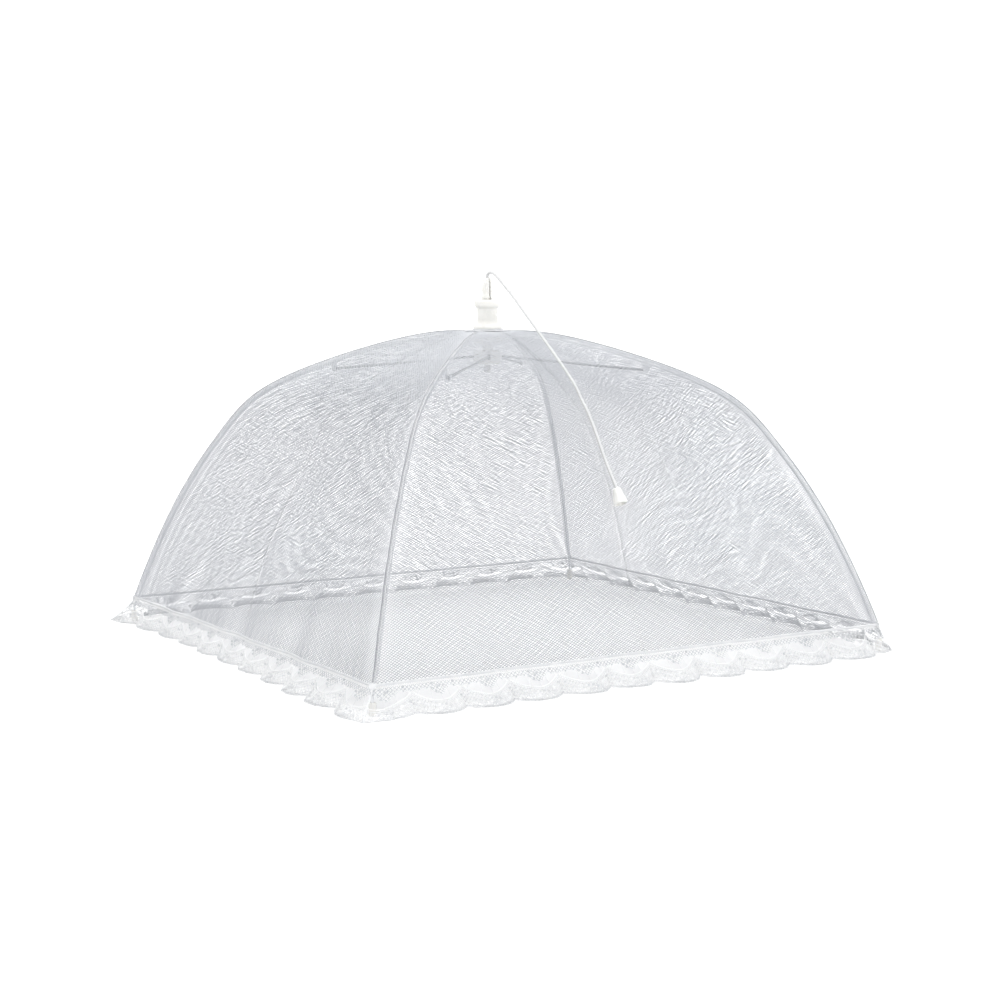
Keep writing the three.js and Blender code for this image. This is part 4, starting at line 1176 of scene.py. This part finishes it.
    so = Soup()
    y0, y1 = STR_OFF - 1.0 + 0.1, STR_OFF + 1.0 + 1.0
    prof = rounded([[0, y0], [PIN_R, y0], [PIN_R, STR_OFF + 1.35], [1.7, STR_OFF + 1.35], [1.7, y1 - 0.25], [1.1, y1], [0, y1]], 0.14, 3)
    m = np.eye(4)
    m[:3, :3] = np.array([[1, 0, 0], [0, 0, 1], [0, -1, 0]], float)
    m[:3, 3] = (PIV[0], 0, PIV[1])
    so.lathe(prof, 36, m)
    finish_part(f"rivet_{n}", so, TIN, f"stretcher_{n}", f"stretcher_rivet_{n}", a)

    so = Soup()
    prof, m = along_y(PIN_R, 0.2, 6.1, PIVOT_R, Z_RUN_PIVOT)
    so.lathe(prof, 28, m)
    finish_part(f"lower_pin_{n}", so, STEEL, "runner", f"runner_pin_{n}", a)

    so = Soup()
    prof, m = along_y(PIN_R, -4.4, 4.4, PIVOT_R, Z_RIB_PIVOT)
    so.lathe(prof, 28, m)
    finish_part(f"upper_pin_{n}", so, STEEL, "crown", f"crown_pin_{n}", a)


# ------------------------------------------------------------------ crown hub, collar, patch and runner
def box_soup(x0, x1, y0, y1, z0, z1, angle=0.0):
    v = np.array([[x, y, z] for x in (x0, x1) for y in (y0, y1) for z in (z0, z1)], float) @ turn_z(angle).T
    f = np.array([[0, 1, 3, 2], [4, 6, 7, 5], [0, 4, 5, 1], [2, 3, 7, 6], [0, 2, 6, 4], [1, 5, 7, 3]])
    so = Soup()
    so.add(v, f)
    return so


def hole_soup(r, y0, y1, x, z, angle):
    so = Soup()
    prof, m = along_y(r, y0, y1, x, z, chamfer=0.001)
    m = m.copy()
    rot = np.eye(4)
    rot[:3, :3] = turn_z(angle)
    so.lathe(prof, 28, rot @ m)
    return so


HUB_R, HUB_Z0, HUB_Z1, NECK_R, NECK_TOP, BORE_R = 11.2, 231.0, 239.6, 5.9, 252.4, 4.7
so = Soup()
so.lathe(rounded([[BORE_R, HUB_Z0], [HUB_R - 0.8, HUB_Z0], [HUB_R, HUB_Z0 + 0.8], [HUB_R, HUB_Z1 - 1.2], [HUB_R - 1.2, HUB_Z1],
                  [NECK_R, HUB_Z1], [NECK_R, NECK_TOP - 0.5], [NECK_R - 0.5, NECK_TOP], [BORE_R, NECK_TOP]], 0.35, 3), 96)
tools = []
for a in CORNER:
    tools.append(box_soup(6.3, 14, -1.5, 1.5, HUB_Z0 - 1, 238.2, a))
    tools.append(hole_soup(PIN_HOLE, -4.8, 12, PIVOT_R, Z_RIB_PIVOT, a))
hub = piece("crown_body", cut(so, tools, 0.12), PLASTIC, sharp=35)
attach(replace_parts(hub, "crown_hub"), "crown")

z = 242.05
so = Soup()
so.lathe(rounded([[NECK_R + 0.35, z], [10.6, z], [11.2, z + 0.6], [11.2, z + 1.8], [10.4, z + 3.2], [9.2, z + 4.6], [8.5, z + 6], [8.3, z + 7.4],
                  [8.3, z + 16.4], [9.1, z + 17.0], [9.9, z + 17.8], [10.1, z + 19], [10.1, z + 21.4], [9.7, z + 22.4], [8.8, z + 23.1],
                  [BORE_R, z + 23.1], [BORE_R, z + 10.8], [NECK_R + 0.35, z + 10.8]], 0.5, 3), 96)
ob = piece("collar_turned", so, PLASTIC, sharp=50)
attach(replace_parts(ob, "collar"), "crown")

# patch: a disc of close net that lies on the canopy, with a stitched rim
so = Soup()


def disc_z(r):
    return np.interp(r, DOME[:, 0], DOME[:, 1]) + 0.55 + 1.3 * smooth01((14.6 - r) / 3.4)


rings = np.linspace(6.6, 16.8, 9)
for k, r in enumerate(rings):
    th = np.linspace(0, 2 * math.pi, 96, endpoint=False)
    rr = r + 0.55 * np.where(np.arange(96) % 2 == 0, 1, -1)
    so.tube(np.stack([rr * np.cos(th + 0.03 * k), rr * np.sin(th + 0.03 * k), disc_z(rr)], 1), [0, 0, 1], 0.2, sides=4, closed=True)
for r in (6.9, 11.4, 16.9):
    th = np.linspace(0, 2 * math.pi, 72, endpoint=False)
    so.tube(np.stack([r * np.cos(th), r * np.sin(th), disc_z(r) + 0 * th + 0.1], 1), [0, 0, 1], 0.26, sides=5, closed=True)
th = np.linspace(0, 2 * math.pi, 121)[:-1]
rr = np.where(np.arange(120) % 2 == 0, 17.0, 15.4)
so.tube(np.stack([rr * np.cos(th), rr * np.sin(th), disc_z(rr) + 0.3], 1), [0, 0, 1], 0.2, sides=5, closed=True)
ob = piece("crown_disc", so, TAPE, sharp=40)
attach(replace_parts(ob, "crown_patch"), "crown")

RUN_R, RUN_Z0, RUN_Z1, STEM_R, CORD_BORE = 11.0, 215.0, 225.5, 4.1, 2.1
so = Soup()
so.lathe(rounded([[CORD_BORE, RUN_Z0], [RUN_R - 1, RUN_Z0], [RUN_R, RUN_Z0 + 1], [RUN_R, RUN_Z1 - 1], [RUN_R - 1, RUN_Z1], [STEM_R + 1, RUN_Z1], [STEM_R, RUN_Z1 + 1.2],
                  [STEM_R, 265.5], [4.4, 266.2], [4.4, 267.2], [STEM_R, 269.5], [STEM_R, 278.3], [3.0, STEM_TIP - 0.4], [2.7, STEM_TIP], [CORD_BORE, STEM_TIP]], 0.4, 3), 80)
tools = [box_soup(-0.6, 0.6, -6, 6, 248, 284)]
for a in CORNER:
    tools.append(box_soup(6.3, 14, 1.7, 4.7, 218.3, 230, a))
    tools.append(hole_soup(PIN_HOLE, -0.1, 12, PIVOT_R, Z_RUN_PIVOT, a))
ob = piece("runner_body", cut(so, tools, 0.1), PLASTIC, sharp=35)
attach(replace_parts(ob, "runner"), "runner")

# ------------------------------------------------------------------ floor and light
floor_mat = material("floor", [(0.95, 0.95, 0.95), (0.96, 0.96, 0.96)], 0.8, scale=4, specular=0.1)
me = bpy.data.meshes.new("floor")
me.from_pydata([(-30, -30, 0), (30, -30, 0), (30, 30, 0), (-30, 30, 0)], [], [(0, 1, 2, 3)])
me.materials.append(floor_mat)
floor = bpy.data.objects.new("floor", me)
bpy.context.collection.objects.link(floor)

world = bpy.data.worlds.new("world")
bpy.context.scene.world = world
world.use_nodes = True
# a white room: brightest overhead, and brighter behind the object than behind the camera
nt = world.node_tree
sky = nt.nodes["Background"]
sky.inputs["Color"].default_value = (1.0, 1.0, 1.0, 1)
way = nt.nodes.new("ShaderNodeTexCoord")
levels = []
for axis, low, high, least, most in (((0.51, 0.86, 0.0), -0.4, 0.7, 0.89, 1.16), ((0.0, 0.0, 1.0), 0.3, 0.95, 0.0, 1.2)):
    dot = nt.nodes.new("ShaderNodeVectorMath")
    dot.operation = "DOT_PRODUCT"
    dot.inputs[1].default_value = axis
    nt.links.new(way.outputs["Generated"], dot.inputs[0])
    ramp = nt.nodes.new("ShaderNodeMapRange")
    ramp.interpolation_type = "SMOOTHSTEP"
    ramp.inputs["From Min"].default_value, ramp.inputs["From Max"].default_value = low, high
    ramp.inputs["To Min"].default_value, ramp.inputs["To Max"].default_value = least, most
    nt.links.new(dot.outputs["Value"], ramp.inputs["Value"])
    levels.append(ramp.outputs["Result"])
both = nt.nodes.new("ShaderNodeMath")
nt.links.new(levels[0], both.inputs[0])
nt.links.new(levels[1], both.inputs[1])
nt.links.new(both.outputs[0], sky.inputs["Strength"])


def area(name, place, aim, size, power, colour=(1, 1, 1)):
    data = bpy.data.lights.new(name, "AREA")
    data.shape, data.size, data.energy, data.color = "DISK", size, power, colour
    ob = bpy.data.objects.new(name, data)
    bpy.context.collection.objects.link(ob)
    zc = unit(np.array(place, float) - np.array(aim, float))
    xc = unit(np.cross([0, 0, 1.0], zc))
    yc = np.cross(zc, xc)
    m = np.eye(4)
    m[:3, 0], m[:3, 1], m[:3, 2], m[:3, 3] = xc, yc, zc, place
    ob.matrix_world = Matrix([list(r) for r in m])


area("key", (0.9, -2.5, 1.0), (0, 0, 0.12), 1.3, 8)

bpy.context.scene.view_settings.view_transform = "Standard"
